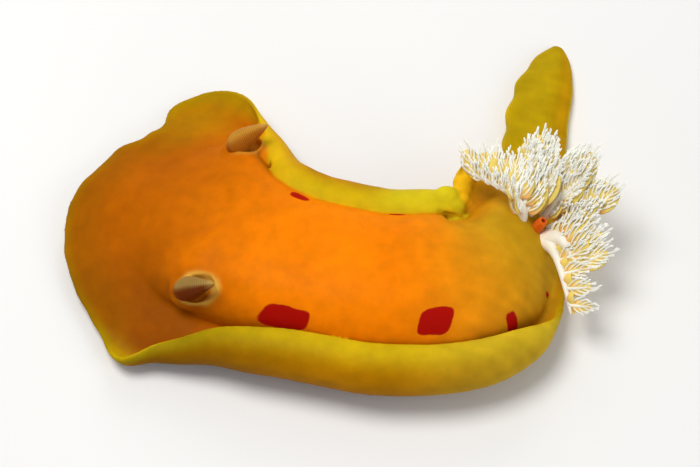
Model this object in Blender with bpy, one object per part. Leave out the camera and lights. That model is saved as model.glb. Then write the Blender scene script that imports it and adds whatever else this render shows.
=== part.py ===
"""Spanish dancer nudibranch, a life-size still model: it crawls towards -X, its mantle margin rolled up."""

import math
import random

import bmesh
import bpy
import numpy as np
from mathutils import Vector
from mathutils.bvhtree import BVHTree

MM = 0.001
GAP = 0.3 * MM
COLLECTION_NAME = "spanish_dancer_nudibranch"

# Midline of the body in plan, head to rear: station along the body, x and y in mm
MIDLINE_X = [(0.0, -84), (0.16, -58), (0.36, -24), (0.55, 12), (0.74, 45), (0.88, 65), (1.0, 73.5)]
MIDLINE_Y = [(0.0, 38), (0.16, 24), (0.36, 6), (0.55, -3), (0.74, -2), (0.88, 13), (1.0, 40)]
CREST_HEIGHT = [(0.0, 25), (0.2, 29.5), (0.4, 35), (0.52, 37), (0.7, 35), (0.85, 30), (1.0, 25)]

# Sizes round the body in mm, by angle: 0 at the head, 90 on the left side, 180 at the rear, 270 on the right
HALF_WIDTH = [
    (0, 42), (30, 43), (45, 43.5), (56, 40.5), (66, 35), (80, 32.5), (98, 33), (114, 35), (124, 35),
    (136, 28), (150, 18), (165, 14), (180, 17), (192, 26), (202, 33), (212, 33.5), (222, 31), (228, 30.5),
    (234, 31), (246, 32.5), (262, 29.5), (284, 28.5), (300, 32.5), (312, 48.5), (322, 57), (332, 52),
    (345, 42.5),
]
MARGIN_HEIGHT = [
    (0, 15), (36, 13.5), (50, 11), (80, 9), (138, 9), (160, 12), (180, 14), (200, 17), (214, 17), (228, 9),
    (280, 9), (305, 11.5), (330, 14),
]
MARGIN_REACH = [
    (0, 27), (30, 25), (40, 26), (47, 30), (54, 31), (66, 33), (74, 36), (84, 35), (96, 36), (116, 34),
    (123, 28), (128, 14), (134, 5), (165, 4), (182, 5), (192, 8), (200, 17), (208, 20), (215, 15), (223, 7),
    (230, 8), (239, 22), (247, 30), (285, 34), (296, 32), (303, 28), (309, 23), (314, 19.5), (319, 34),
    (324, 40), (328, 37), (332, 29), (336, 25), (340, 21.5), (348, 22.5),
]
# How far the margin is rolled up over the back, from 0 for flat to 1 for fully rolled, and the share of its
# width at which the roll begins
MARGIN_ROLL = [
    (0, 0), (41, 0), (47, 0.7), (54, 0.95), (60, 1), (120, 1), (128, 0.7), (136, 0.1), (150, 0),
    (206, 0), (214, 0.2), (222, 0.6), (232, 0.8), (246, 1), (308, 1), (313, 0.8), (317, 0.3), (321, 0),
]
FOLD_START = [
    (0, 0.8), (42, 0.8), (50, 0.64), (58, 0.42), (68, 0.18), (78, 0.03), (88, 0), (295, 0), (303, 0.08),
    (310, 0.38), (317, 0.68), (324, 0.8),
]
MARGIN_LEAN = [(0, 0), (26, 6), (46, 22), (60, 14), (80, 0), (296, 0), (310, 12), (324, 20), (344, 0)]
FLAT_START, FLAT_TURN = -20.0, 3.0
ROLL_START, ROLL_TURN = -14.0, 219.0
ROOT_THICKNESS = 4.6 * MM
EDGE_THICKNESS = 2.2 * MM
RIPPLE = 0.8 * MM
FAN_FRONT, FAN_REAR = 0.24, 0.82
END_FULLNESS = 0.86

# Foot and trunk
FOOT_HEIGHT = 5.7 * MM
SOLE_SHARE, SKIRT_SHARE, FOOT_TOP_SHARE, BELLY_SHARE = 0.84, 0.9, 0.8, 0.92
SKIRT_HEIGHT = 2.2 * MM
STATION_STEP = 7.8 * MM
HEAD_CUT, FOOT_CUT, MIDDLE_CUT, TAIL_CUT = 0.30, 0.44, 0.56, 0.80
BACK_RINGS = (1, 0.97, 0.9, 0.78, 0.6, 0.36, 0)

# Margin nodes: name, first and last angle, samples across
MARGIN_NODES = [
    ("mantle_margin_front", -36, 44, 6),
    ("mantle_margin_left_front", 44, 88, 10),
    ("mantle_margin_left_rear", 88, 136, 10),
    ("mantle_margin_rear", 136, 212, 6),
    ("mantle_margin_right_rear", 212, 262, 10),
    ("mantle_margin_right_front", 262, 324, 10),
]
SPLIT_ANGLES = [0, 36, 44, 58, 88, 98, 136, 148, 180]

# Tail: station, then x, y, half width and height in mm
TAIL_STATIONS = [
    0.0, 0.06, 0.12, 0.18, 0.25, 0.32, 0.39, 0.46, 0.54, 0.62, 0.7, 0.78, 0.85, 0.91, 0.955, 0.985, 1.0,
]
TAIL_X = [(0.0, 45), (0.1, 59), (0.2, 69.5), (0.31, 75), (0.55, 75), (0.7, 77), (0.84, 81.5), (1.0, 88)]
TAIL_Y = [(0.0, -3), (0.1, 6.5), (0.2, 20), (0.31, 35), (0.55, 64), (0.7, 82), (0.84, 99), (1.0, 120)]
TAIL_HALF_WIDTH = [
    (0.0, 25), (0.1, 20), (0.2, 15.5), (0.4, 13), (0.7, 13), (0.84, 12), (0.93, 8.5), (0.98, 5), (1.0, 2.2),
]
TAIL_HEIGHT = [(0.0, 5.6), (0.36, 5.6), (0.46, 8), (0.57, 10), (0.75, 9), (0.9, 6.5), (1.0, 3)]
TAIL_EDGE_SHARE, TAIL_SOLE_SHARE = 0.25, 0.93
TAIL_LUMP, TAIL_LUMP_RATE = 0.05, 55

# Mouth region: forward of the front of the trunk, and up from the floor
SNOUT_FORWARD, SNOUT_UP = 2.0 * MM, 6.0 * MM
SNOUT_DEPTH, SNOUT_RISE = 8.0 * MM, 4.6 * MM
SNOUT_HALF_WIDTH = 12.0 * MM
MOUTH_DEPTH, LIP_SWELL = 0.30, 0.10
MOUTH_WIDTH, LIP_PLACE, LIP_WIDTH = 0.8 * MM, 2.4 * MM, 1.2 * MM

# Oral tentacles: share of the length, then forward, up, half depth and half thickness in mm
TENTACLE_LENGTH = 13.0 * MM
TENTACLE_FORWARD = [(0.0, 2.0), (0.35, 3.2), (0.7, 4.6), (1.0, 5.2)]
TENTACLE_UP = [(0.0, 6.0), (0.35, 5.0), (0.7, 4.0), (1.0, 3.4)]
TENTACLE_DEPTH = [(0.0, 5.2), (0.35, 6.0), (0.7, 6.4), (0.9, 5.0), (1.0, 2.8)]
TENTACLE_THICKNESS = [(0.0, 2.9), (0.35, 1.7), (0.7, 1.2), (1.0, 0.8)]
FINGER_COUNT, FINGER_RADIUS, FINGER_LENGTH = 6, 0.8 * MM, 5.5 * MM
FINGER_FIRST, FINGER_LAST = 100, -20
FINGER_CENTRE, FINGER_FORWARD, FINGER_UP, FINGER_ROOT = 0.6, 4.4 * MM, 4.0 * MM, 2.5 * MM

# Rhinophores: angle and share of the way out where they leave the back, axis of the pit, and lean of the club
RHINOPHORES = [
    ("rhinophore_left", 56, 0.86, (0.30, -0.28, 0.91), (0.80, -0.12, 0.59)),
    ("rhinophore_right", 317, 0.86, (0.20, 0.22, 0.95), (0.80, 0.12, 0.59)),
]
STALK_RADIUS = 2.9 * MM
CLUB_RADIUS = 4.6 * MM
CLUB_START = 0.34
LAMELLAE = 6
STALK_RISE, CLUB_RISE = 10.0 * MM, 12.5 * MM
PIT_RADIUS, PIT_DEPTH, PIT_STRETCH = 5.2 * MM, 3.6 * MM, 1.25
COLLAR_BASE, COLLAR_TOP, COLLAR_RISE = 9.6 * MM, 6.8 * MM, 2.8 * MM
COLLAR_ROOT, COLLAR_SHIFT = 4.0 * MM, 1.2 * MM

# Gills: angle of the root round the circle, and the tip's x, y and z in mm
GILL_CENTRE = Vector((72.5, 21.0, 0.0)) * MM
GILL_CIRCLE = 5.8 * MM
GILLS = [
    (165, (50.0, 42.0, 37.5)),
    (115, (74.5, 49.0, 38.0)),
    (65, (91.0, 41.0, 34.5)),
    (15, (95.0, 23.0, 28.0)),
    (-35, (95.0, 5.0, 22.5)),
    (-85, (86.0, -9.0, 20.0)),
]
GILL_ROOT_RADIUS, GILL_TIP_RADIUS = 1.7 * MM, 0.5 * MM
GILL_SINK = 2.4 * MM
GILL_RISE, GILL_ARCH, GILL_FLARE = 13.0 * MM, 8.5 * MM, 0.25
GILL_POINTS, GILL_SIDES = 10, 5
GILL_BRANCHES, FIRST_BRANCH, LAST_BRANCH = 11, 0.24, 0.98
BRANCH_LENGTH, BRANCH_RADIUS, BRANCH_TIP_RADIUS = 12.0 * MM, 0.62 * MM, 0.42 * MM
BRANCH_SPREAD, BRANCH_CLOSING, BRANCH_BEND = 66, 34, 0.35
TWIG_PLACES = (0.35, 0.7, 0.97)
TWIG_LENGTH, TWIG_RADIUS, TWIG_MIDDLE_RADIUS = 5.0 * MM, 0.38 * MM, 0.28 * MM
FILAMENT_CLEARANCE = 0.5 * MM
FLESH_CLEARANCE = 1.0 * MM
PAPILLA_RADIUS, PAPILLA_TIP_RADIUS, PAPILLA_HEIGHT = 2.4 * MM, 1.5 * MM, 6.0 * MM
UP = Vector((0, 0, 1))


def smooth_keys(keys, at, half, period=None):
    """Value of a list of keys, rounded off over half a window to each side."""
    xs, ys = zip(*keys)
    start_slope = (ys[1] - ys[0]) / (xs[1] - xs[0])
    end_slope = (ys[-1] - ys[-2]) / (xs[-1] - xs[-2])
    offsets = np.linspace(-1, 1, 21)
    weights = 1 - 0.95 * np.abs(offsets)
    weights /= weights.sum()
    at = np.asarray(at, float)
    total = np.zeros_like(at)
    for offset, weight in zip(offsets * half, weights):
        if period:
            value = np.interp((at + offset) % period, xs, ys, period=period)
        else:
            query = at + offset
            value = np.interp(query, xs, ys)
            value = value + np.minimum(query - xs[0], 0) * start_slope
            value = value + np.maximum(query - xs[-1], 0) * end_slope
        total = total + weight * value
    return total


def along(keys, station):
    return smooth_keys(keys, station, 0.09)


def around(keys, angle):
    return smooth_keys(keys, angle, 7.0, 360)


def unit(vectors):
    return vectors / np.linalg.norm(vectors, axis=-1, keepdims=True)


def midline(station):
    return np.stack([along(MIDLINE_X, station), along(MIDLINE_Y, station)], -1) * MM


def station_of(angle):
    return (1 - np.cos(np.radians(angle))) / 2


def root_line(angle):
    """Where the margin leaves the trunk, in plan."""
    station = station_of(angle)
    direction = unit(midline(station + 0.004) - midline(station - 0.004))
    left = np.stack([direction[..., 1], -direction[..., 0]], -1)
    side = np.sin(np.radians(angle))
    share = np.sign(side) * np.abs(side) ** END_FULLNESS
    return midline(station) + left * (share * around(HALF_WIDTH, angle) * MM)[..., None]


def outward(angle):
    """Direction in plan in which the margin leaves the trunk."""
    travel = unit(root_line(angle + 0.8) - root_line(angle - 0.8))
    normal = np.stack([travel[..., 1], -travel[..., 0]], -1)
    lean = np.radians(around(MARGIN_LEAN, angle))[..., None]
    return normal * np.cos(lean) + travel * np.sin(lean)


def margin_point(angle, across, side, offset=0.0):
    """Point of the margin: across runs from 0 at its root to 1 at its edge, side is 1 above and -1 below."""
    roll = around(MARGIN_ROLL, angle)
    reach = around(MARGIN_REACH, angle) * MM
    fold = around(FOLD_START, angle)
    slope = np.radians(FLAT_START + (ROLL_START - FLAT_START) * roll * (1 - fold))
    turn = np.radians(FLAT_TURN)
    forward, rise = 0.0, 0.0
    folded_turn = np.radians(FLAT_TURN + (ROLL_TURN - FLAT_TURN) * roll) / (1 - fold)
    for rate, share in ((turn, np.minimum(across, fold)), (folded_turn, np.maximum(across - fold, 0))):
        next_slope = slope + rate * share
        forward = forward + reach / rate * (np.sin(next_slope) - np.sin(slope))
        rise = rise + reach / rate * (np.cos(slope) - np.cos(next_slope))
        slope = next_slope
    thickness = ROOT_THICKNESS + (EDGE_THICKNESS - ROOT_THICKNESS) * np.minimum(across, 1)
    forward = forward - np.sin(slope) * side * thickness / 2
    rise = rise + np.cos(slope) * side * thickness / 2
    wave = np.sin(np.radians(9 * angle)) + 0.6 * np.sin(np.radians(15 * angle) + 1)
    rise = rise + RIPPLE * wave * across ** 2 * (1 - roll) ** 2
    plan = root_line(angle) + outward(angle) * (forward + offset)[..., None]
    return np.concatenate([plan, (around(MARGIN_HEIGHT, angle) * MM + rise)[..., None]], -1)


def fold_samples(angle, samples):
    """Places across the margin, closer together where it folds over."""
    fold = around(FOLD_START, angle)
    before = 0.4 * fold
    return np.interp(np.linspace(0, 1, samples), [0, before, 1], [0, fold, 1])


def inner_line(angle):
    """Point of the midline that a radius of the trunk starts from, and its station."""
    station = np.clip(station_of(angle), FAN_FRONT, FAN_REAR)
    return midline(station), station


def back_point(angle, out):
    """Point of the back: out runs from 0 at the midline to 1 where the margin starts."""
    roll = around(MARGIN_ROLL, angle)
    centre, station = inner_line(angle)
    rim = margin_point(angle, np.zeros_like(angle), 1.0)
    crest = along(CREST_HEIGHT, station) * MM
    broadness = 1.5 + 1.5 * roll
    steepness = 1.0 + 0.9 * roll
    height = rim[..., 2] + (crest - rim[..., 2]) * np.clip(1 - out ** broadness, 0, 1) ** (1 / steepness)
    plan = centre + (rim[..., :2] - centre) * out[..., None]
    return np.concatenate([plan, height[..., None]], -1)


def level_ring(angles, share, height):
    """Ring at one height, at a share of the way out to the root line."""
    centre, _ = inner_line(angles)
    plan = centre + (root_line(angles) - centre) * share
    return np.concatenate([plan, np.full(len(angles), height)[:, None]], -1)


def half_angles():
    """Angles of the left half, no further apart on either side than the step, with one at each split."""
    angles = []
    for first, last in zip(SPLIT_ANGLES, SPLIT_ANGLES[1:]):
        fine = np.linspace(first, last, 40)
        lines = [margin_point(side % 360, np.full(40, 0.9), 0.0) for side in (fine, 360 - fine)]
        length = max(np.linalg.norm(np.diff(line, axis=0), axis=1).sum() for line in lines)
        count = max(1, math.ceil(length / STATION_STEP))
        angles += list(np.linspace(first, last, count, endpoint=False))
    return angles + [180.0]


def ring_angles():
    """Angles once round the body, the right half a mirror image of the left."""
    left = half_angles()
    return np.array(left + [360 - angle for angle in reversed(left[1:-1])])


def material(name, colour, roughness):
    made = bpy.data.materials.new(name)
    made.use_nodes = True
    shader = made.node_tree.nodes["Principled BSDF"]
    shader.inputs["Base Color"].default_value = (*colour, 1)
    shader.inputs["Roughness"].default_value = roughness
    shader.inputs["Metallic"].default_value = 0.0
    return made


def add_object(name, bm, finish, collection, smooth=True):
    """Make a mesh object with its own material from a bmesh."""
    bmesh.ops.recalc_face_normals(bm, faces=bm.faces)
    mesh = bpy.data.meshes.new(name)
    bm.to_mesh(mesh)
    bm.free()
    if smooth:
        mesh.shade_smooth()
        mesh.set_sharp_from_angle(angle=math.radians(40))
    made = bpy.data.objects.new(name, mesh)
    collection.objects.link(made)
    if finish:
        mesh.materials.append(material(name, *finish))
    return made


def add_cutter(name, bm, collection):
    cutter = add_object(name, bm, None, collection, smooth=False)
    cutter.hide_render = True
    cutter.display_type = "WIRE"
    return cutter


def loft(bm, rings, first_cap=True, last_cap=True):
    """Skin through rings of as many points each, split into triangles the same way all round."""
    rows = [[bm.verts.new(point) for point in ring] for ring in rings]
    count = len(rows[0])
    for lower, upper in zip(rows, rows[1:]):
        for i in range(count):
            j = (i + 1) % count
            bm.faces.new((lower[i], lower[j], upper[j]))
            bm.faces.new((lower[i], upper[j], upper[i]))
    if first_cap:
        bm.faces.new(rows[0])
    if last_cap:
        bm.faces.new(rows[-1])
    return rows


def cut_plane(bm, point, normal):
    """Keep what lies behind the plane and close the cut with a flat face."""
    geometry = list(bm.verts) + list(bm.edges) + list(bm.faces)
    bmesh.ops.bisect_plane(bm, geom=geometry, dist=1e-7, plane_co=point, plane_no=normal, clear_outer=True)
    bmesh.ops.holes_fill(bm, edges=[edge for edge in bm.edges if edge.is_boundary])


def midline_slice(bm, first, last):
    """Keep the stretch of a body between two stations of the midline, short of each by half a gap."""
    for station, sign in ((first, -1), (last, 1)):
        if station is None:
            continue
        at = np.array(station)
        along_body = unit(midline(at + 0.01) - midline(at - 0.01))
        plan = midline(at) - along_body * sign * GAP / 2
        cut_plane(bm, Vector((*plan, 0)), Vector((*along_body, 0)) * sign)


def trunk_mesh():
    """The whole trunk, from the belly on the foot, up its sides and over the back to the midline."""
    angles = ring_angles()
    belly = level_ring(angles, BELLY_SHARE, FOOT_HEIGHT + GAP)
    under = margin_point(angles, np.zeros(len(angles)), -1.0)
    rings = [belly, under]
    rings += [back_point(angles, np.full(len(angles), out)) for out in BACK_RINGS]
    bm = bmesh.new()
    loft(bm, rings, last_cap=False)
    bmesh.ops.remove_doubles(bm, verts=bm.verts, dist=1e-6)
    return bm


def foot_mesh():
    angles = ring_angles()
    bm = bmesh.new()
    rings = [
        level_ring(angles, SOLE_SHARE, 0.0),
        level_ring(angles, SKIRT_SHARE, SKIRT_HEIGHT),
        level_ring(angles, FOOT_TOP_SHARE, FOOT_HEIGHT),
    ]
    loft(bm, rings)
    return bm


def margin_mesh(first, last, samples):
    """One length of the margin, a closed sheet with a rounded edge, just clear of its neighbours."""
    root = root_line(np.array([first, first + 1.0, last - 1.0, last]))
    speed_first = np.linalg.norm(root[1] - root[0])
    speed_last = np.linalg.norm(root[3] - root[2])
    angles = [angle for angle in (*(ring_angles() - 360), *ring_angles()) if first < angle < last]
    angles = [first + GAP / 2 / speed_first, *angles, last - GAP / 2 / speed_last]
    rows = []
    bm = bmesh.new()
    for angle in angles:
        at = np.full(samples, angle % 360)
        across = fold_samples(angle % 360, samples)
        top = margin_point(at, across, 1.0, GAP)
        bottom = margin_point(at, across, -1.0, GAP)
        bead = 0.45 * EDGE_THICKNESS / (around(MARGIN_REACH, angle) * MM)
        rim = margin_point(at[:1], np.array([1 + bead]), 0.0, GAP)
        points = np.concatenate([top, rim, bottom[::-1]])
        rows.append([bm.verts.new(point) for point in points])
    count = len(rows[0])
    for lower, upper in zip(rows, rows[1:]):
        for i in range(count):
            j = (i + 1) % count
            if i < samples or i == count - 1:
                bm.faces.new((lower[i], lower[j], upper[j]))
                bm.faces.new((lower[i], upper[j], upper[i]))
            else:
                bm.faces.new((lower[i], lower[j], upper[i]))
                bm.faces.new((lower[j], upper[j], upper[i]))
    for row in (rows[0], rows[-1]):
        bm.faces.new((row[samples - 1], row[samples], row[samples + 1]))
        for i in range(samples - 1):
            bm.faces.new((row[i], row[i + 1], row[count - 2 - i], row[count - 1 - i]))
    return bm


def tail_line(station):
    return np.stack([smooth_keys(TAIL_X, station, 0.06), smooth_keys(TAIL_Y, station, 0.06)], -1) * MM


def tail_mesh():
    """The free end of the foot, a flat-soled tongue that runs under the rear of the body and out behind."""
    turn = np.linspace(0, math.pi, 9)
    bm = bmesh.new()
    rings = []
    for station in TAIL_STATIONS:
        centre = tail_line(station)
        forward = unit(tail_line(station + 0.01) - centre)
        right = np.array([forward[1], -forward[0]])
        width = smooth_keys(TAIL_HALF_WIDTH, station, 0.04) * MM
        height = smooth_keys(TAIL_HEIGHT, station, 0.05) * MM
        squareness = np.interp(station, [0.25, 0.5], [5.0, 2.3])
        side = np.sign(np.cos(turn)) * np.abs(np.cos(turn)) ** (2 / squareness)
        rise = TAIL_EDGE_SHARE + (1 - TAIL_EDGE_SHARE) * np.sin(turn) ** (2 / squareness)
        side = np.concatenate([[TAIL_SOLE_SHARE], side, [-TAIL_SOLE_SHARE]])
        rise = np.concatenate([[0], rise, [0]])
        if station > 0.4:
            side = np.where(side < 0, side * (1 + TAIL_LUMP * math.sin(station * TAIL_LUMP_RATE)), side)
        plan = centre + side[:, None] * width * right
        rings.append(np.concatenate([plan, (rise * height)[:, None]], -1))
    loft(bm, rings)
    return bm


def front_point(forward, left, up):
    """Point near the mouth, by its distances forward and to the left of the trunk's front, and its height."""
    front = np.array(0.0)
    origin = root_line(front)
    ahead = outward(front)
    to_left = np.array([-ahead[1], ahead[0]])
    plan = origin + ahead * np.asarray(forward)[..., None] + to_left * np.asarray(left)[..., None]
    return np.concatenate([plan, (np.zeros(plan.shape[:-1]) + up)[..., None]], -1)


def snout_mesh(mouth=True, grow=0.0):
    """The mouth's bulb, built from side to side, with a slit between two lips at its front."""
    half = np.array([0.0, 0.5, 1.1, 1.9, 2.9, 4.4, 6.6, 9.2]) * MM
    half = np.append(half, SNOUT_HALF_WIDTH + grow)
    places = np.concatenate([-half[:0:-1], half])
    turn = np.linspace(0, 2 * math.pi, 14, endpoint=False)
    facing = np.clip(np.cos(turn + 0.35), 0, 1)
    bm = bmesh.new()
    rings = []
    for place in places:
        share = math.sqrt(1 - (abs(place) / (1.25 * SNOUT_HALF_WIDTH)) ** 2.4)
        slit = MOUTH_DEPTH * math.exp(-((place / MOUTH_WIDTH) ** 2))
        lip = LIP_SWELL * math.exp(-(((abs(place) - LIP_PLACE) / LIP_WIDTH) ** 2))
        shape = 1 + (lip - slit) * facing * mouth
        forward = SNOUT_FORWARD + (SNOUT_DEPTH * share * shape + grow) * np.cos(turn)
        up = SNOUT_UP + (SNOUT_RISE * share * shape + grow) * np.sin(turn)
        rings.append(front_point(forward, np.full(len(turn), place), up))
    loft(bm, rings)
    return bm


def tentacle_mesh(side):
    """A flat lobe beside the mouth, from the bulb's side outwards."""
    turn = np.linspace(0, 2 * math.pi, 10, endpoint=False)
    bm = bmesh.new()
    rings = []
    for share in (0, 0.25, 0.5, 0.75, 0.92, 1.0):
        depth = smooth_keys(TENTACLE_DEPTH, share, 0.05) * MM
        thickness = smooth_keys(TENTACLE_THICKNESS, share, 0.05) * MM
        forward = smooth_keys(TENTACLE_FORWARD, share, 0.05) * MM + depth * np.cos(turn)
        up = smooth_keys(TENTACLE_UP, share, 0.05) * MM + thickness * np.sin(turn)
        left = side * (SNOUT_HALF_WIDTH + GAP + TENTACLE_LENGTH * share)
        rings.append(front_point(forward, np.full(len(turn), left), up))
    loft(bm, rings)
    return bm


def tube(bm, points, radii, sides):
    """Closed tapered tube along a few points; a last radius of 0 ends it in a point."""
    points = [Vector(point) for point in points]
    across = None
    rows = []
    for i, (point, radius) in enumerate(zip(points, radii)):
        direction = (points[min(i + 1, len(points) - 1)] - points[max(i - 1, 0)]).normalized()
        if across is None:
            across = direction.orthogonal().normalized()
        across = (across - direction * across.dot(direction)).normalized()
        other = direction.cross(across)
        if radius == 0:
            rows.append([bm.verts.new(point)])
            continue
        turns = [2 * math.pi * k / sides for k in range(sides)]
        spokes = [math.cos(a) * across + math.sin(a) * other for a in turns]
        rows.append([bm.verts.new(point + radius * spoke) for spoke in spokes])
    for lower, upper in zip(rows, rows[1:]):
        for i in range(sides):
            j = (i + 1) % sides
            if len(upper) == 1:
                bm.faces.new((lower[i], lower[j], upper[0]))
            else:
                bm.faces.new((lower[i], lower[j], upper[j], upper[i]))
    bm.faces.new(rows[0])
    if len(rows[-1]) > 1:
        bm.faces.new(rows[-1])


def applied(target):
    """Turn an object's modifiers into its mesh."""
    bpy.context.view_layer.update()
    evaluated = target.evaluated_get(bpy.context.evaluated_depsgraph_get())
    mesh = bpy.data.meshes.new_from_object(evaluated)
    target.modifiers.clear()
    target.data = mesh


def keep_largest(target):
    """Drop every closed surface of a mesh but the one with most points."""
    bm = bmesh.new()
    bm.from_mesh(target.data)
    left = set(bm.verts)
    islands = []
    while left:
        stack = [left.pop()]
        island = set(stack)
        while stack:
            for edge in stack.pop().link_edges:
                for vert in edge.verts:
                    if vert not in island:
                        island.add(vert)
                        stack.append(vert)
        left -= island
        islands.append(island)
    largest = max(islands, key=len)
    bmesh.ops.delete(bm, geom=[vert for vert in bm.verts if vert not in largest], context="VERTS")
    bm.to_mesh(target.data)
    bm.free()


def join_strokes(target, strokes):
    """Fuse tapered tubes into an object by one union on a collection, then remove the tubes."""
    pieces = bpy.data.collections.new(target.name + "_pieces")
    bpy.context.scene.collection.children.link(pieces)
    for points, radii, sides in strokes:
        bm = bmesh.new()
        tube(bm, points, radii, sides)
        add_object(target.name + "_piece", bm, None, pieces, smooth=False)
    union = target.modifiers.new("joined", "BOOLEAN")
    union.operation = "UNION"
    union.operand_type = "COLLECTION"
    union.collection = pieces
    union.solver = "MANIFOLD"
    applied(target)
    for piece in list(pieces.objects):
        bpy.data.objects.remove(piece, do_unlink=True)
    bpy.data.collections.remove(pieces)
    keep_largest(target)


def cut_with(target, cutter, operation="DIFFERENCE"):
    cut = target.modifiers.new(cutter.name, "BOOLEAN")
    cut.operation = operation
    cut.object = cutter
    cut.solver = "EXACT"


def pit_frame(axis, lean):
    """Upward, lengthwise and sideways directions of a pit."""
    up = Vector(axis).normalized()
    lean = Vector(lean)
    length = (lean - up * lean.dot(up)).normalized()
    return up, length, up.cross(length)


def oval_cone(point, frame, low, high, low_radius, high_radius, stretch, sides=20):
    """Cone with an oval section from a depth low to a height high along the frame's upward direction."""
    up, length, side = frame
    bm = bmesh.new()
    rings = []
    for height, radius in ((low, low_radius), (high, high_radius)):
        turns = [2 * math.pi * k / sides for k in range(sides)]
        centre = point + up * height
        rings.append([centre + radius * (math.cos(a) * stretch * length + math.sin(a) * side) for a in turns])
    loft(bm, rings)
    return bm


def rhinophore_mesh(point, axis, lean):
    """Stalk that leaves the pit's floor, bends back and carries a club with lamellae."""
    start = point - axis * (PIT_DEPTH - GAP)
    bend = start + axis * STALK_RISE
    tip = bend + lean * CLUB_RISE
    shares = [0.0, 0.14, 0.28, CLUB_START]
    radii = [STALK_RADIUS, 0.92 * STALK_RADIUS, 0.92 * STALK_RADIUS, 1.2 * STALK_RADIUS]
    steps = 2 * LAMELLAE
    for i in range(steps + 1):
        share = CLUB_START + (0.95 - CLUB_START) * (i + 0.6) / (steps + 0.6)
        fullness = math.sin(math.pi * (0.24 + 0.58 * i / steps)) ** 0.8
        shares.append(share)
        radii.append(CLUB_RADIUS * fullness * (1.0 if i % 2 else 0.86))
    shares.append(1.0)
    radii.append(0.22 * CLUB_RADIUS)
    points = [start * (1 - t) ** 2 + bend * 2 * t * (1 - t) + tip * t * t for t in shares]
    bm = bmesh.new()
    tube(bm, points, radii, 12)
    return bm


def tree_of(objects):
    """Search tree of the outer surfaces of several objects."""
    bm = bmesh.new()
    for item in objects:
        bm.from_mesh(item.data)
    tree = BVHTree.FromBMesh(bm)
    bm.free()
    return tree


def surface_below(tree, point):
    """Height and normal of the highest surface at a place, or the floor's."""
    hit, normal, _, _ = tree.ray_cast(Vector((point[0], point[1], 1.0)), -UP)
    if hit is None:
        return 0.0, UP
    return hit.z, normal


def bezier(points, t):
    a, b, c, d = points
    return a * (1 - t) ** 3 + b * 3 * t * (1 - t) ** 2 + c * 3 * t * t * (1 - t) + d * t ** 3


def gill_frame(number, tree):
    """Root, axis and the four points of the curve that one gill's stem follows."""
    angle, tip = GILLS[number]
    radial = Vector((math.cos(math.radians(angle)), math.sin(math.radians(angle)), 0))
    root = GILL_CENTRE + radial * GILL_CIRCLE
    height, normal = surface_below(tree, root)
    root = Vector((root.x, root.y, height))
    axis = (normal + radial * GILL_FLARE + UP * 0.6).normalized()
    start = root - axis * (GILL_SINK - GAP)
    tip = Vector(tip) * MM
    run = (tip - root).normalized()
    return root, axis, (start, start + axis * GILL_RISE, tip - run * GILL_RISE + UP * GILL_ARCH, tip)


def gill_walls(number):
    """Upright planes midway to the gills on either side: a point and a direction into this gill's sector."""
    walls = []
    angle, tip = GILLS[number]
    own = (Vector(tip) * MM - GILL_CENTRE).normalized()
    for other in (number - 1, number + 1):
        if not 0 <= other < len(GILLS):
            continue
        other_angle, other_tip = GILLS[other]
        middle_angle = math.radians((angle + other_angle) / 2)
        point = GILL_CENTRE + Vector((math.cos(middle_angle), math.sin(middle_angle), 0)) * GILL_CIRCLE
        far = (Vector(tip) + Vector(other_tip)) / 2 * MM
        wall = Vector((far.x - point.x, far.y - point.y, 0)).normalized()
        inward = UP.cross(wall)
        if inward.dot(Vector(tip) * MM - point) < 0:
            inward = -inward
        walls.append((point, inward))
    return walls


def is_clear(points, radius, walls, tree):
    """Whether a filament keeps to its own sector and above the flesh."""
    for point in points:
        if any((point - at).dot(inward) < radius + FILAMENT_CLEARANCE for at, inward in walls):
            return False
        if point.z - surface_below(tree, point)[0] < radius + FLESH_CLEARANCE:
            return False
    return True


def fitted_stroke(start, direction, bend, length, radii, sides, walls, tree):
    """Curved filament, shortened until it is clear of its neighbours, or nothing."""
    for share in (1.0, 0.82, 0.66, 0.5, 0.36):
        reach = length * share
        points = [start, start + direction * reach * 0.5, start + (direction + bend).normalized() * reach]
        if is_clear(points[1:], max(radii), walls, tree):
            return points, radii, sides
    return None


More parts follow.
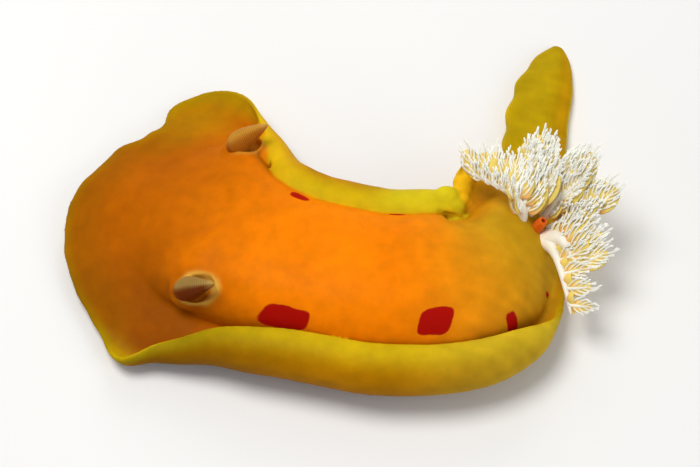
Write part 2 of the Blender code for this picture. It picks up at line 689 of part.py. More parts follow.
def gill_strokes(number, curve, tree):
    """Side branches and twigs of one gill's plume."""
    draw = random.Random(40 + number)
    walls = gill_walls(number)
    strokes = []
    for i in range(GILL_BRANCHES):
        share = FIRST_BRANCH + (LAST_BRANCH - FIRST_BRANCH) * i / (GILL_BRANCHES - 1)
        start = bezier(curve, share)
        tangent = (bezier(curve, min(share + 0.02, 1)) - bezier(curve, share - 0.02)).normalized()
        across = tangent.cross(UP).normalized()
        lift = across.cross(tangent)
        side = across * (1 if i % 2 else -1)
        spread = math.radians(BRANCH_SPREAD - BRANCH_CLOSING * share + draw.uniform(-5, 5))
        direction = tangent * math.cos(spread) + side * math.sin(spread) + lift * draw.uniform(0.0, 0.35)
        direction.normalize()
        length = BRANCH_LENGTH * (1.15 - 0.55 * share) * draw.uniform(0.9, 1.1)
        radii = (BRANCH_RADIUS, 0.9 * BRANCH_RADIUS, BRANCH_TIP_RADIUS)
        branch = fitted_stroke(start, direction, tangent * BRANCH_BEND, length, radii, 4, walls, tree)
        if branch is None:
            continue
        strokes.append(branch)
        (low, middle, high), _, _ = branch
        course = (high - middle).normalized()
        for j, place in enumerate(TWIG_PLACES):
            fork = low.lerp(middle, place * 2) if place < 0.5 else middle.lerp(high, place * 2 - 1)
            swing = course.cross(lift).normalized() * (1 if j % 2 else -1)
            twig_direction = (course + swing * 0.75 + lift * draw.uniform(0.0, 0.45)).normalized()
            radii = (TWIG_RADIUS, TWIG_MIDDLE_RADIUS, 0)
            twig_length = TWIG_LENGTH * draw.uniform(0.85, 1.15)
            twig = fitted_stroke(fork, twig_direction, course * 0.4, twig_length, radii, 3, walls, tree)
            if twig:
                strokes.append(twig)
    return strokes


def build_body(collection):
    head = trunk_mesh()
    midline_slice(head, None, HEAD_CUT)
    nodes = {"head": add_object("head", head, ((0.62, 0.20, 0.01), 0.45), collection)}
    for name, first, last in (("body_front", HEAD_CUT, MIDDLE_CUT), ("body_rear", MIDDLE_CUT, None)):
        bm = trunk_mesh()
        midline_slice(bm, first, last)
        nodes[name] = add_object(name, bm, ((0.85, 0.24, 0.0), 0.45), collection)
    for name, first, last in (("foot_front", None, FOOT_CUT), ("foot_rear", FOOT_CUT, TAIL_CUT)):
        bm = foot_mesh()
        midline_slice(bm, first, last)
        nodes[name] = add_object(name, bm, ((0.75, 0.34, 0.02), 0.5), collection)
    for name, first, last, samples in MARGIN_NODES:
        bm = margin_mesh(first, last, samples)
        nodes[name] = add_object(name, bm, ((0.72, 0.40, 0.02), 0.45), collection)
    bm = tail_mesh()
    midline_slice(bm, TAIL_CUT, None)
    nodes["tail"] = add_object("tail", bm, ((0.60, 0.30, 0.01), 0.45), collection)
    return nodes


def build_mouth(nodes, collection, cutters):
    """Snout set in a pocket of the head, with a tentacle on each side of it."""
    nodes["snout"] = add_object("snout", snout_mesh(), ((0.75, 0.30, 0.05), 0.45), collection)
    pocket = add_cutter("snout_pocket", snout_mesh(mouth=False, grow=GAP), cutters)
    cut_with(nodes["head"], pocket)
    for name, side in (("oral_tentacle_left", 1), ("oral_tentacle_right", -1)):
        tentacle = add_object(name, tentacle_mesh(side), ((0.80, 0.38, 0.08), 0.45), collection)
        strokes = []
        for i in range(FINGER_COUNT):
            turn = math.radians(FINGER_FIRST + (FINGER_LAST - FINGER_FIRST) * i / (FINGER_COUNT - 1))
            points = []
            for reach in (FINGER_ROOT, FINGER_ROOT + 0.6 * FINGER_LENGTH, FINGER_ROOT + FINGER_LENGTH):
                left = SNOUT_HALF_WIDTH + FINGER_CENTRE * TENTACLE_LENGTH + reach * math.cos(turn)
                points.append(front_point(FINGER_FORWARD + reach * math.sin(turn), side * left, FINGER_UP))
            strokes.append((points, (FINGER_RADIUS, FINGER_RADIUS, 0.5 * FINGER_RADIUS), 5))
        join_strokes(tentacle, strokes)
        nodes[name] = tentacle


def build_rhinophores(nodes, collection, cutters):
    head = nodes["head"]
    collars = []
    for name, angle, out, axis, lean in RHINOPHORES:
        point = Vector(back_point(np.array([float(angle)]), np.array([out]))[0])
        frame = pit_frame(axis, lean)
        up, length, _ = frame
        lean = Vector(lean).normalized()
        middle = point + length * COLLAR_SHIFT
        collar = oval_cone(middle, frame, -COLLAR_ROOT, COLLAR_RISE, COLLAR_BASE, COLLAR_TOP, PIT_STRETCH)
        collars.append(add_cutter(name + "_collar", collar, cutters))
        cut_with(head, collars[-1], "UNION")
        pit = oval_cone(middle, frame, -PIT_DEPTH, 4 * COLLAR_RISE, PIT_RADIUS, PIT_RADIUS, PIT_STRETCH)
        cut_with(head, add_cutter(name + "_pit", pit, cutters))
        club = rhinophore_mesh(point, up, lean)
        nodes[name] = add_object(name, club, ((0.42, 0.16, 0.04), 0.4), collection)


def build_gills(nodes, collection, cutters):
    """Six gills round the anal papilla, each rooted in a pit of its own in the rear of the body."""
    body = nodes["body_rear"]
    back = tree_of([body])
    near = ("body", "mantle", "tail", "foot")
    flesh = tree_of([node for name, node in nodes.items() if name.startswith(near)])
    for number in range(len(GILLS)):
        root, axis, curve = gill_frame(number, back)
        bm = bmesh.new()
        tube(bm, [root - axis * GILL_SINK, root + axis * 2 * GILL_SINK], [GILL_ROOT_RADIUS + GAP] * 2, 12)
        cut_with(body, add_cutter(f"gill_{number + 1}_pit", bm, cutters))
        bm = bmesh.new()
        shares = [i / (GILL_POINTS - 1) for i in range(GILL_POINTS)]
        points = [bezier(curve, share) for share in shares]
        radii = [GILL_ROOT_RADIUS + (GILL_TIP_RADIUS - GILL_ROOT_RADIUS) * share for share in shares]
        tube(bm, points, radii, GILL_SIDES)
        gill = add_object(f"gill_{number + 1}", bm, ((0.90, 0.72, 0.48), 0.4), collection)
        join_strokes(gill, gill_strokes(number, curve, flesh))
        nodes[gill.name] = gill
    height, normal = surface_below(back, GILL_CENTRE)
    seat = Vector((GILL_CENTRE.x, GILL_CENTRE.y, height))
    axis = (normal + UP).normalized()
    bm = bmesh.new()
    tube(bm, [seat - axis * GILL_SINK, seat + axis * 2 * GILL_SINK], [PAPILLA_RADIUS + GAP] * 2, 12)
    cut_with(body, add_cutter("papilla_pit", bm, cutters))
    bm = bmesh.new()
    shares = (0.0, 0.45, 0.8, 1.0)
    low = seat - axis * (GILL_SINK - GAP)
    points = [low + axis * (PAPILLA_HEIGHT + GILL_SINK) * share for share in shares]
    tube(bm, points, (PAPILLA_RADIUS, 0.9 * PAPILLA_RADIUS, PAPILLA_TIP_RADIUS, 0.5 * PAPILLA_TIP_RADIUS), 12)
    nodes["anal_papilla"] = add_object("anal_papilla", bm, ((0.80, 0.16, 0.02), 0.4), collection)


def main():
    for item in list(bpy.data.objects):
        bpy.data.objects.remove(item, do_unlink=True)
    collection = bpy.data.collections.new(COLLECTION_NAME)
    bpy.context.scene.collection.children.link(collection)
    cutters = bpy.data.collections.new("cutters")
    bpy.context.scene.collection.children.link(cutters)
    nodes = build_body(collection)
    build_mouth(nodes, collection, cutters)
    build_rhinophores(nodes, collection, cutters)
    build_gills(nodes, collection, cutters)


main()
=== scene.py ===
"""Looks of the spanish dancer model: one skin over the flesh, gills, rhinophores, floor, light and camera."""

import math
from collections import defaultdict

import bmesh
import bpy
import numpy as np
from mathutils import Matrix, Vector
from mathutils.bvhtree import BVHTree
from mathutils.kdtree import KDTree


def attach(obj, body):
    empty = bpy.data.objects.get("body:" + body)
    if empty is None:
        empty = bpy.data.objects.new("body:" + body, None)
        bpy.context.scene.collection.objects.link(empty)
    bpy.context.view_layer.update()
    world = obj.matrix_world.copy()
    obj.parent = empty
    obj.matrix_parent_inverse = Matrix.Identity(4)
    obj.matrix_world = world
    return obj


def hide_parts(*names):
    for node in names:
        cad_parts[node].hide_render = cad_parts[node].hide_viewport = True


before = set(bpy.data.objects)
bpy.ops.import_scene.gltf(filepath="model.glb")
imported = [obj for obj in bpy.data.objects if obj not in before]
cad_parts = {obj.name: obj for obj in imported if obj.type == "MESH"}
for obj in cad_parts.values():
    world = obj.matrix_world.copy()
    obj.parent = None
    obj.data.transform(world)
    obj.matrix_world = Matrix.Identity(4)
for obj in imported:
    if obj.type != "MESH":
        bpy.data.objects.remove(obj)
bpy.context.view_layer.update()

MM = 0.001
VOXEL = 0.55 * MM
UP = np.array([0.0, 0.0, 1.0])

# The body's sizes, as in the part's source: keys of station or angle, and mm
MIDLINE_X = [(0.0, -84), (0.16, -58), (0.36, -24), (0.55, 12), (0.74, 45), (0.88, 65), (1.0, 73.5)]
MIDLINE_Y = [(0.0, 38), (0.16, 24), (0.36, 6), (0.55, -3), (0.74, -2), (0.88, 13), (1.0, 40)]
CREST_HEIGHT = [(0.0, 25), (0.2, 29.5), (0.4, 35), (0.52, 37), (0.7, 35), (0.85, 30), (1.0, 25)]
HALF_WIDTH = [
    (0, 42), (30, 43), (45, 43.5), (56, 40.5), (66, 35), (80, 32.5), (98, 33), (114, 35), (124, 35),
    (136, 28), (150, 18), (165, 14), (180, 17), (192, 26), (202, 33), (212, 33.5), (222, 31), (228, 30.5),
    (234, 31), (246, 32.5), (262, 29.5), (284, 28.5), (300, 32.5), (312, 48.5), (322, 57), (332, 52),
    (345, 42.5),
]
MARGIN_HEIGHT = [
    (0, 15), (36, 13.5), (50, 11), (80, 9), (138, 9), (160, 12), (180, 14), (200, 17), (214, 17), (228, 9),
    (280, 9), (305, 11.5), (330, 14),
]
MARGIN_REACH = [
    (0, 27), (30, 25), (40, 26), (47, 30), (54, 31), (66, 33), (74, 36), (84, 35), (96, 36), (116, 34),
    (123, 28), (128, 14), (134, 5), (165, 4), (182, 5), (191, 9), (200, 22), (205, 20), (210, 14), (215, 9),
    (223, 6), (230, 8), (239, 22), (247, 30), (285, 34), (296, 32), (303, 30), (309, 27), (314, 22),
    (319, 32), (324, 40), (328, 37), (332, 29), (336, 25), (340, 21.5), (348, 22.5),
]
# How far the margin is rolled up over the back, from 0 for flat to 1 for fully rolled, and the share of its
# width at which the roll begins
MARGIN_ROLL = [
    (0, 0), (41, 0), (47, 0.7), (54, 0.95), (60, 1), (120, 1), (128, 0.7), (136, 0.1), (150, 0),
    (190, 0), (202, 0.28), (214, 0.35), (222, 0.6), (232, 0.8), (246, 1), (309, 1), (315, 0.85), (319, 0.3),
    (322, 0),
]
FOLD_START = [
    (0, 0.8), (42, 0.8), (50, 0.64), (58, 0.42), (68, 0.18), (78, 0.03), (88, 0), (295, 0), (303, 0.08),
    (310, 0.3), (317, 0.5), (324, 0.8),
]
MARGIN_LEAN = [(0, 0), (26, 6), (46, 22), (60, 14), (80, 0), (296, 0), (310, 12), (324, 20), (344, 0)]
# Smoothing of the keys: half width along and round the body, number of samples, and their fall in weight
STATION_SMOOTHING, ANGLE_SMOOTHING, SMOOTHING_STEPS, SMOOTHING_FALL = 0.09, 7.0, 21, 0.95
# Steps to either side from which a direction is taken
STATION_STEP, ANGLE_STEP, TAIL_STEP = 0.004, 0.8, 0.01
FLAT_START, FLAT_TURN = -20.0, 3.0
ROLL_START, ROLL_TURN = -14.0, 219.0
ROOT_THICKNESS, EDGE_THICKNESS = 4.6 * MM, 2.2 * MM
FAN_FRONT, FAN_REAR = 0.24, 0.82
END_FULLNESS = 0.86
# Power of the back's curve and how square it is, where the margin is flat and where it is rolled
CREST_POWER, CREST_SQUARENESS = (1.5, 3.0), (1.0, 1.9)
# Extra fullness of the back where the far roll lies on it: centre and spread in degrees
SHOULDER_FILL, SHOULDER = 2.4, (301, 18)
# Waves round the body: number of waves, height and shift of each
SCALLOP, SCALLOPS = 0.0045, [(23, 1, 0), (37, 1, 2), (61, 1, 1)]
RIPPLE, RIPPLES = 0.8 * MM, [(9, 1, 0), (15, 0.6, 1)]
FOOT_WAVES = [(23, 0.012, 0), (41, 0.009, 2)]
# Changes of the brim's reach at its sharp corner, its notch and its far front: angle, mm, spread in degrees
EDGE_CHANGES = [(46, 5.0, 4), (330.5, -5.5, 4), (347, 4.0, 6)]
FOOT_HEIGHT, SINK = 5.7 * MM, 1.5 * MM
# Foot from the sole up: share of the body's width, height in mm, and how much it is waved
FOOT_PROFILE = [
    (0.84, 0.0, 0), (0.868, 0.25, 0.3), (0.884, 0.8, 0.7), (0.892, 1.4, 1), (0.89, 2.1, 1), (0.872, 2.8, 0.7),
    (0.845, 3.4, 0.3), (0.82, 4.2, 0), (0.805, 5.2, 0), (0.80, 7.2, 0),
]

TAIL_X = [(0.0, 45), (0.1, 59), (0.2, 69.5), (0.31, 75), (0.55, 75), (0.7, 77), (0.84, 81.5), (1.0, 88)]
TAIL_Y = [(0.0, -3), (0.1, 6.5), (0.2, 20), (0.31, 35), (0.55, 64), (0.7, 82), (0.84, 99), (1.0, 120)]
TAIL_HALF_WIDTH = [
    (0.0, 25), (0.1, 20), (0.2, 15.5), (0.4, 13), (0.7, 13), (0.84, 12), (0.93, 8.5), (0.98, 5), (1.0, 2.2),
]
TAIL_HEIGHT = [(0.0, 5.6), (0.36, 5.6), (0.46, 8), (0.57, 10), (0.75, 9), (0.9, 6.5), (1.0, 3)]
# Groove beside the tail's thin edge and swell in its soft half: depth, place across and spread
TAIL_GROOVE, TAIL_SWELL = (0.10, 0.62, 0.16), (0.05, -0.35, 0.3)
TAIL_EDGE, TAIL_SOLE, TAIL_LUMP, TAIL_LUMP_TURN = 0.25, 0.95, 0.05, 55
# Stations where the lumps and the groove set in, and how square the tail is at its root and behind it
TAIL_LUMPED, TAIL_GROOVED, TAIL_SQUARENESS = (0.38, 0.46), (0.36, 0.5), ([0.25, 0.5], [5.0, 2.3])
TAIL_LINE_SMOOTHING, TAIL_WIDTH_SMOOTHING, TAIL_HEIGHT_SMOOTHING = 0.06, 0.04, 0.05

SNOUT_FORWARD, SNOUT_UP = 2.0 * MM, 6.0 * MM
SNOUT_DEPTH, SNOUT_RISE = 8.0 * MM, 4.6 * MM
SNOUT_HALF_WIDTH, SNOUT_OVERHANG = 12.0 * MM, 0.8 * MM
SNOUT_TAPER, SNOUT_POWER = 1.25, 2.4
MOUTH_DEPTH, MOUTH_WIDTH, MOUTH_TILT = 0.30, 0.8 * MM, 0.35
LIP_SWELL, LIP_PLACE, LIP_WIDTH = 0.10, 2.4 * MM, 1.2 * MM
TENTACLE_LENGTH = 13.0 * MM
TENTACLE_FORWARD = [(0.0, 2.0), (0.35, 3.2), (0.7, 4.6), (1.0, 5.2)]
TENTACLE_UP = [(0.0, 6.0), (0.35, 5.0), (0.7, 4.0), (1.0, 3.4)]
TENTACLE_DEPTH = [(0.0, 5.2), (0.35, 6.0), (0.7, 6.4), (0.9, 5.0), (1.0, 2.8)]
TENTACLE_THICKNESS = [(0.0, 2.9), (0.35, 1.7), (0.7, 1.2), (1.0, 0.8)]
FINGER_COUNT, FINGER_LENGTH, FINGER_RADII = 9, 5.5 * MM, (0.77 * MM, 0.525 * MM)
FINGER_FIRST, FINGER_FAN = 110, 140
FINGER_START, FINGER_FORWARD, FINGER_UP = 2.5 * MM, 4.4 * MM, 4.0 * MM

# Rhinophores: name, angle, share of the way out, axis of the sheath, direction of the club
RHINOPHORES = [
    ("rhinophore_left", 56, 0.86, (0.30, -0.28, 0.91), (0.85, -0.12, 0.50)),
    ("rhinophore_right", 316, 0.92, (0.20, 0.22, 0.95), (0.90, 0.38, 0.26)),
]
CLUB_PROFILE = [
    (0.0, 3.1), (0.08, 3.5), (0.2, 4.2), (0.35, 4.75), (0.48, 4.7), (0.62, 4.1), (0.76, 3.1), (0.88, 2.0),
    (0.95, 1.25), (1.0, 0.5),
]
STALK_RISE, CLUB_RISE, CLUB_BACK, CLUB_SINK = 5.5 * MM, 14.0 * MM, 4.6 * MM, 2.0 * MM
CLUB_START, CLUB_CLOSE = 0.16, 0.965
LAMELLAE, LAMELLA_DEPTH, LAMELLA_SLANT, LAMELLA_SHADE = 24, 0.10, 0.05, 0.22
LAMELLA_WINDOW = (0.05, 0.15, 0.86, 0.94)
# Bare strips down the club's front and back: strength and half width in radians
FRONT_STRIP, BACK_STRIP = (0.9, 0.2), (0.8, 0.16)
CLUB_LIGHT = np.array([0.0, 0.866, 0.5])
PIT_RADIUS, PIT_DEPTH, PIT_STRETCH = 4.8 * MM, 0.6 * MM, 1.22
COLLAR_BASE, COLLAR_TOP, COLLAR_RISE = 8.0 * MM, 5.7 * MM, 2.0 * MM
COLLAR_FOOT, COLLAR_ROOT, COLLAR_SHIFT = -4.0 * MM, -3.0 * MM, 2.0 * MM
COLLAR_WOBBLE, RIM_RADIUS, RIM_SPREAD = 0.012, 5.9 * MM, 1.2 * MM
# Where the skin is softened round a sheath, by distance from its axis
COLLAR_SOFT = (6.4 * MM, 8.0 * MM, 12.0 * MM, 18.0 * MM)
RIM_PALENESS = {"rhinophore_left": 0.85, "rhinophore_right": 0.3}

# Gills: angle of the first root in the ring, and the turn from each root to the next
GILL_CENTRE, GILL_CIRCLE = np.array([72.5, 21.0, 0.0]) * MM, 5.8 * MM
GILL_FIRST, GILL_TURN = 165, -50
# The tip in mm, the stem's radii at the root, the middle and the tip in mm, the share of the stem before the
# first frond, the number and the length in mm of the fronds, and the width of the veil under them
GILL_FORMS = [
    ((49, 35, 35), (1.9, 1.2, 0.6), 0.05, 16, 12.5, 12),
    ((71, 39, 35), (1.9, 1.3, 0.6), 0.06, 17, 14.5, 13),
    ((86, 34, 34), (2.0, 1.3, 0.6), 0.10, 16, 14.5, 13),
    ((93, 23, 30), (2.7, 1.6, 0.6), 0.26, 13, 14.0, 12),
    ((88, 2, 22), (5.4, 2.5, 0.6), 0.32, 14, 14.0, 10),
    ((84, -15, 17), (4.0, 1.7, 0.6), 0.20, 12, 10.5, 4),
]
GILL_SEED = 90
STEM_RISE, STEM_ARCH, STEM_SINK, STEM_MIDDLE = 13.0 * MM, 8.0 * MM, 2.0 * MM, 0.45
# Gills of the thick stalk near the camera: turn of the root in degrees and share of the usual rise
STALK_ROOTS = {4: (-4, 0.9), 5: (34, 0.55)}
# Gills bare on the inside, the limit beyond which a frond is an inner one, and its share of the usual length
BARE_INSIDE, INNER_LIMIT, INNER_LENGTH = (4, 5), -0.45, 0.6
FAN_CENTRE = np.array([60.0, -4.0]) * MM
FAN_LIFT, FAN_LEVEL, FAN_DROOP, FAN_LOWEST = 0.65, 30.0 * MM, 0.045 / MM, -0.35
# A frond heads along the stem, upwards to the view and with the sweep, and turns further into the sweep
FROND_VIEW, FROND_TO_VIEW = np.array([0.0, -0.5, 1.0]), 0.3
FROND_ALONG, FROND_SWEEP, FROND_TURN = 0.35, 0.9, 0.3
FROND_TRIALS, FROND_CLEARANCE = (1.0, 0.85, 0.7, 0.55, 0.4), 1.8 * MM
FROND_RADII, FULL_FROND = (0.78 * MM, 0.42 * MM), 11.0 * MM
# Random ranges of a frond's spread, length and tilt
FROND_SPREADS, FROND_LENGTHS, FROND_TILTS = (0.8, 1.2), (0.9, 1.1), (-0.3, 0.3)
FILAMENT_STEP, FILAMENT_LENGTH, FILAMENT_SPREAD = 2.3 * MM, 7.0 * MM, 3.4 * MM
FILAMENT_RADIUS, FILAMENT_TIP, FILAMENT_CLEARANCE = 0.40 * MM, 0.33 * MM, 0.9 * MM
FILAMENT_ROOM, FILAMENT_POINTS = 0.7 * MM, 8
# Random ranges of a filament's rise out of the web, its distance from the midrib and its length
FILAMENT_RISES, FILAMENT_ASIDES, FILAMENT_LENGTHS = (0.04, 0.16), (0.9, 1.1), (0.88, 1.12)
FORK_LENGTH, FORK_TAPER, FORK_POINTS = 2.2 * MM, 0.86, 5
# Random ranges of a fork's turn, rise and length, and the filament's points from which one or two forks leave
FORK_TURNS, FORK_RISES, FORK_LENGTHS = (0.4, 0.6), (0.0, 0.15), (0.7, 1.15)
LONE_FORK, FORK_PAIR = 5, (4, 6)
WEB_WIDTH, WEB_THICKNESS = 4.8 * MM, 0.22 * MM
VEIL_CLEARANCE, RUFFLE_HEIGHT, RUFFLE_LENGTH = 1.5 * MM, 1.0 * MM, 5.5 * MM
# Length of a tube's tip for its radius, and the slope from which a tube counts as upright
TUBE_TIP, UPRIGHT = 0.7, 0.8

# Papilla from its root inside the skin to its inner wall: height and radius in mm
PAPILLA_PROFILE = [
    (-2.0, 2.6), (0.0, 2.5), (1.5, 2.3), (3.0, 2.1), (4.4, 1.95), (5.4, 1.8), (5.9, 1.5), (6.0, 1.1),
    (5.7, 0.75), (5.0, 0.55), (4.0, 0.45), (3.4, 0.3),
]
PAPILLA_FOLDS, PAPILLA_FOLD_DEPTH, PAPILLA_FOLDED = 8, 0.09, (2, 5)


# Numbers and curves

def smooth_keys(keys, at, half, period=None):
    """Values between keys, averaged over half a width to either side so that no corner shows."""
    xs, ys = zip(*keys)
    start_slope = (ys[1] - ys[0]) / (xs[1] - xs[0])
    end_slope = (ys[-1] - ys[-2]) / (xs[-1] - xs[-2])
    offsets = np.linspace(-1, 1, SMOOTHING_STEPS)
    weights = 1 - SMOOTHING_FALL * np.abs(offsets)
    weights /= weights.sum()
    at = np.asarray(at, float)
    total = np.zeros_like(at)
    for offset, weight in zip(offsets * half, weights):
        if period:
            value = np.interp((at + offset) % period, xs, ys, period=period)
        else:
            query = at + offset
            value = np.interp(query, xs, ys)
            value = value + np.minimum(query - xs[0], 0) * start_slope
            value = value + np.maximum(query - xs[-1], 0) * end_slope
        total = total + weight * value
    return total


def along(keys, station):
    return smooth_keys(keys, station, STATION_SMOOTHING)


def around(keys, angle):
    return smooth_keys(keys, angle, ANGLE_SMOOTHING, 360)


def smoothstep(low, high, value):
    t = np.clip((value - low) / (high - low), 0, 1)
    return t * t * (3 - 2 * t)


def band(value, start, full, fade, end):
    return smoothstep(start, full, value) * (1 - smoothstep(fade, end, value))


def bell(value, centre, spread):
    return np.exp(-((value - centre) / spread) ** 2)


def waves(angle, terms):
    return sum(height * np.sin(np.radians(count * angle) + shift) for count, height, shift in terms)


def mixed(first, second, share):
    return first + (second - first) * np.asarray(share)[..., None]


def layered(colour, *layers):
    """A colour with others laid over it, each by its share."""
    for over, share in layers:
        colour = mixed(colour, over, share)
    return colour


def unit(vectors):
    return vectors / np.linalg.norm(vectors, axis=-1, keepdims=True)


def full_turn(count):
    return np.linspace(0, 2 * math.pi, count, endpoint=False)


def quadratic(start, middle, end, count):
    """Points of a curve from start to end that heads for the middle point."""
    t = np.linspace(0, 1, count)[:, None]
    return start * (1 - t) ** 2 + middle * 2 * t * (1 - t) + end * t ** 2


def cubic(points, t):
    a, b, c, d = points
    t = np.asarray(t)[..., None]
    return a * (1 - t) ** 3 + b * 3 * t * (1 - t) ** 2 + c * 3 * t * t * (1 - t) + d * t ** 3


def field(points, scale, seed, count=14):
    """Smooth random value near -1 to 1 at each point, with features of about one scale in size."""
    draw = np.random.default_rng(seed)
    directions = unit(draw.normal(size=(count, 3)))
    lengths = draw.uniform(0.75, 1.35, count) * 2 * math.pi / scale
    phases = draw.uniform(0, 2 * math.pi, count)
    value = np.sin(points @ (directions * lengths[:, None]).T + phases).sum(1)
    return value / math.sqrt(count)


# Body functions

def midline(station):
    return np.stack([along(MIDLINE_X, station), along(MIDLINE_Y, station)], -1) * MM


def station_of(angle):
    return (1 - np.cos(np.radians(angle))) / 2


def root_line(angle):
    station = station_of(angle)
    direction = unit(midline(station + STATION_STEP) - midline(station - STATION_STEP))
    left = np.stack([direction[..., 1], -direction[..., 0]], -1)
    side = np.sin(np.radians(angle))
    share = np.sign(side) * np.abs(side) ** END_FULLNESS
    return midline(station) + left * (share * around(HALF_WIDTH, angle) * MM)[..., None]


def outward(angle):
    travel = unit(root_line(angle + ANGLE_STEP) - root_line(angle - ANGLE_STEP))
    normal = np.stack([travel[..., 1], -travel[..., 0]], -1)
    lean = np.radians(around(MARGIN_LEAN, angle))[..., None]
    return normal * np.cos(lean) + travel * np.sin(lean)


def margin_point(angle, across, side, offset=0.0):
    """Point of the margin: across runs from 0 at its root to 1 at its edge, side is 1 above and -1 below."""
    roll = around(MARGIN_ROLL, angle)
    reach = around(MARGIN_REACH, angle) * MM * (1 + SCALLOP * waves(angle, SCALLOPS) * (1 - roll))
    for centre, change, spread in EDGE_CHANGES:
        reach = reach + change * MM * bell(angle, centre, spread)
    fold = around(FOLD_START, angle)
    slope = np.radians(FLAT_START + (ROLL_START - FLAT_START) * roll * (1 - fold))
    turn = np.radians(FLAT_TURN)
    forward, rise = 0.0, 0.0
    folded_turn = np.radians(FLAT_TURN + (ROLL_TURN - FLAT_TURN) * roll) / (1 - fold)
    for rate, share in ((turn, np.minimum(across, fold)), (folded_turn, np.maximum(across - fold, 0))):
        next_slope = slope + rate * share
        forward = forward + reach / rate * (np.sin(next_slope) - np.sin(slope))
        rise = rise + reach / rate * (np.cos(slope) - np.cos(next_slope))
        slope = next_slope
    thickness = ROOT_THICKNESS + (EDGE_THICKNESS - ROOT_THICKNESS) * np.minimum(across, 1)
    forward = forward - np.sin(slope) * side * thickness / 2
    rise = rise + np.cos(slope) * side * thickness / 2
    rise = rise + RIPPLE * waves(angle, RIPPLES) * across ** 2 * (1 - roll) ** 2
    plan = root_line(angle) + outward(angle) * (forward + offset)[..., None]
    return np.concatenate([plan, (around(MARGIN_HEIGHT, angle) * MM + rise)[..., None]], -1)


def fold_across(angle, share):
    """Place across the margin, with more of the shares where it folds over."""
    fold = around(FOLD_START, angle)
    before = 0.4 * fold
    beyond = fold + (share - before) / (1 - before) * (1 - fold)
    return np.where(share < before, share * 2.5, beyond)


def inner_line(angle):
    station = np.clip(station_of(angle), FAN_FRONT, FAN_REAR)
    return midline(station), station


def back_point(angle, out):
    """Point of the back: out runs from 0 at the midline to 1 where the margin starts."""
    roll = around(MARGIN_ROLL, angle)
    centre, station = inner_line(angle)
    rim = margin_point(angle, 0.0, 1.0)
    crest = along(CREST_HEIGHT, station) * MM
    power = CREST_POWER[0] + (CREST_POWER[1] - CREST_POWER[0]) * roll
    squareness = CREST_SQUARENESS[0] + (CREST_SQUARENESS[1] - CREST_SQUARENESS[0]) * roll
    squareness = squareness + SHOULDER_FILL * bell(angle, *SHOULDER)
    height = rim[..., 2] + (crest - rim[..., 2]) * np.clip(1 - out ** power, 0, 1) ** (1 / squareness)
    plan = centre + (rim[..., :2] - centre) * out
    return np.concatenate([plan, height[..., None]], -1)


def level_ring(angles, share, height):
    centre, _ = inner_line(angles)
    plan = centre + (root_line(angles) - centre) * np.broadcast_to(share, angles.shape)[:, None]
    return np.concatenate([plan, np.full((len(angles), 1), height)], -1)


def front_point(forward, left, up):
    """Point near the mouth, by its distances forward and to the left of the trunk's front, and its height."""
    ahead = outward(0.0)
    to_left = np.array([-ahead[1], ahead[0]])
    plan = root_line(0.0) + ahead * np.asarray(forward)[..., None] + to_left * np.asarray(left)[..., None]
    return np.concatenate([plan, (np.zeros(plan.shape[:-1]) + up)[..., None]], -1)


# Mesh helpers

def mesh_object(name, verts, faces):
    mesh = bpy.data.meshes.new(name)
    mesh.from_pydata([tuple(v) for v in verts], [], faces)
    mesh.update()
    made = bpy.data.objects.new(name, mesh)
    bpy.context.scene.collection.objects.link(made)
    return made


def grid_faces(rows, columns, wrap_rows=False):
    """Quads of a grid whose rows are closed rings."""
    r, c = np.meshgrid(np.arange(rows if wrap_rows else rows - 1), np.arange(columns), indexing="ij")
    r, c = r.ravel(), c.ravel()
    below, right = (r + 1) % rows, (c + 1) % columns
    quads = (r * columns + c, r * columns + right, below * columns + right, below * columns + c)
    return np.stack(quads, -1).tolist()


def loft_object(name, rings, wrap_rows=False):
    """Closed surface through rings of as many points each, with flat ends unless it closes on itself."""
    rings = np.asarray(rings)
    rows, columns = rings.shape[:2]
    faces = grid_faces(rows, columns, wrap_rows)
    if not wrap_rows:
        faces.append(list(range(columns - 1, -1, -1)))
        faces.append(list(range((rows - 1) * columns, rows * columns)))
    return mesh_object(name, rings.reshape(-1, 3), faces)


def repeated_faces(faces, count, block):
    """The faces of one strip, for as many strips whose points follow one another in blocks."""
    faces = np.array(faces)
    return (faces + np.arange(count)[:, None, None] * block).reshape(-1, faces.shape[1]).tolist()


def stroke_batch(paths, radii, ways, sides):
    """Points and faces of many strokes at once: tapered tubes, or thin sheets where ways across are given."""
    paths, radii = np.asarray(paths), np.asarray(radii)
    count, points = radii.shape
    last, block = (points - 1) * sides, points * sides
    tangent = unit(np.gradient(paths, axis=1))
    if ways is None:
        upright = np.abs(tangent.mean(1)[:, 2:3]) >= UPRIGHT
        reference = np.where(upright, [[1.0, 0.0, 0.0]], [[0.0, 0.0, 1.0]])
        across, thickness = unit(np.cross(tangent, reference[:, None])), radii
    else:
        across, thickness = np.asarray(ways), np.full(radii.shape, WEB_THICKNESS)
    other = np.cross(tangent, across)
    turn = full_turn(sides)
    rings = paths[:, :, None] + across[:, :, None] * np.cos(turn)[:, None] * radii[:, :, None, None]
    rings = rings + other[:, :, None] * np.sin(turn)[:, None] * thickness[:, :, None, None]
    verts = rings.reshape(count, block, 3)
    ends = [range(sides - 1, -1, -1), range(last, block)]
    if ways is None:
        tip = paths[:, -1:] + tangent[:, -1:] * radii[:, -1:, None] * TUBE_TIP
        verts = np.concatenate([verts, tip, paths[:, :1]], 1)
        ends = [(last + i, last + (i + 1) % sides, block) for i in range(sides)]
        ends += [((i + 1) % sides, i, block + 1) for i in range(sides)]
    stride = verts.shape[1]
    faces = repeated_faces(grid_faces(points, sides), count, stride) + repeated_faces(ends, count, stride)
    return verts.reshape(-1, 3), faces


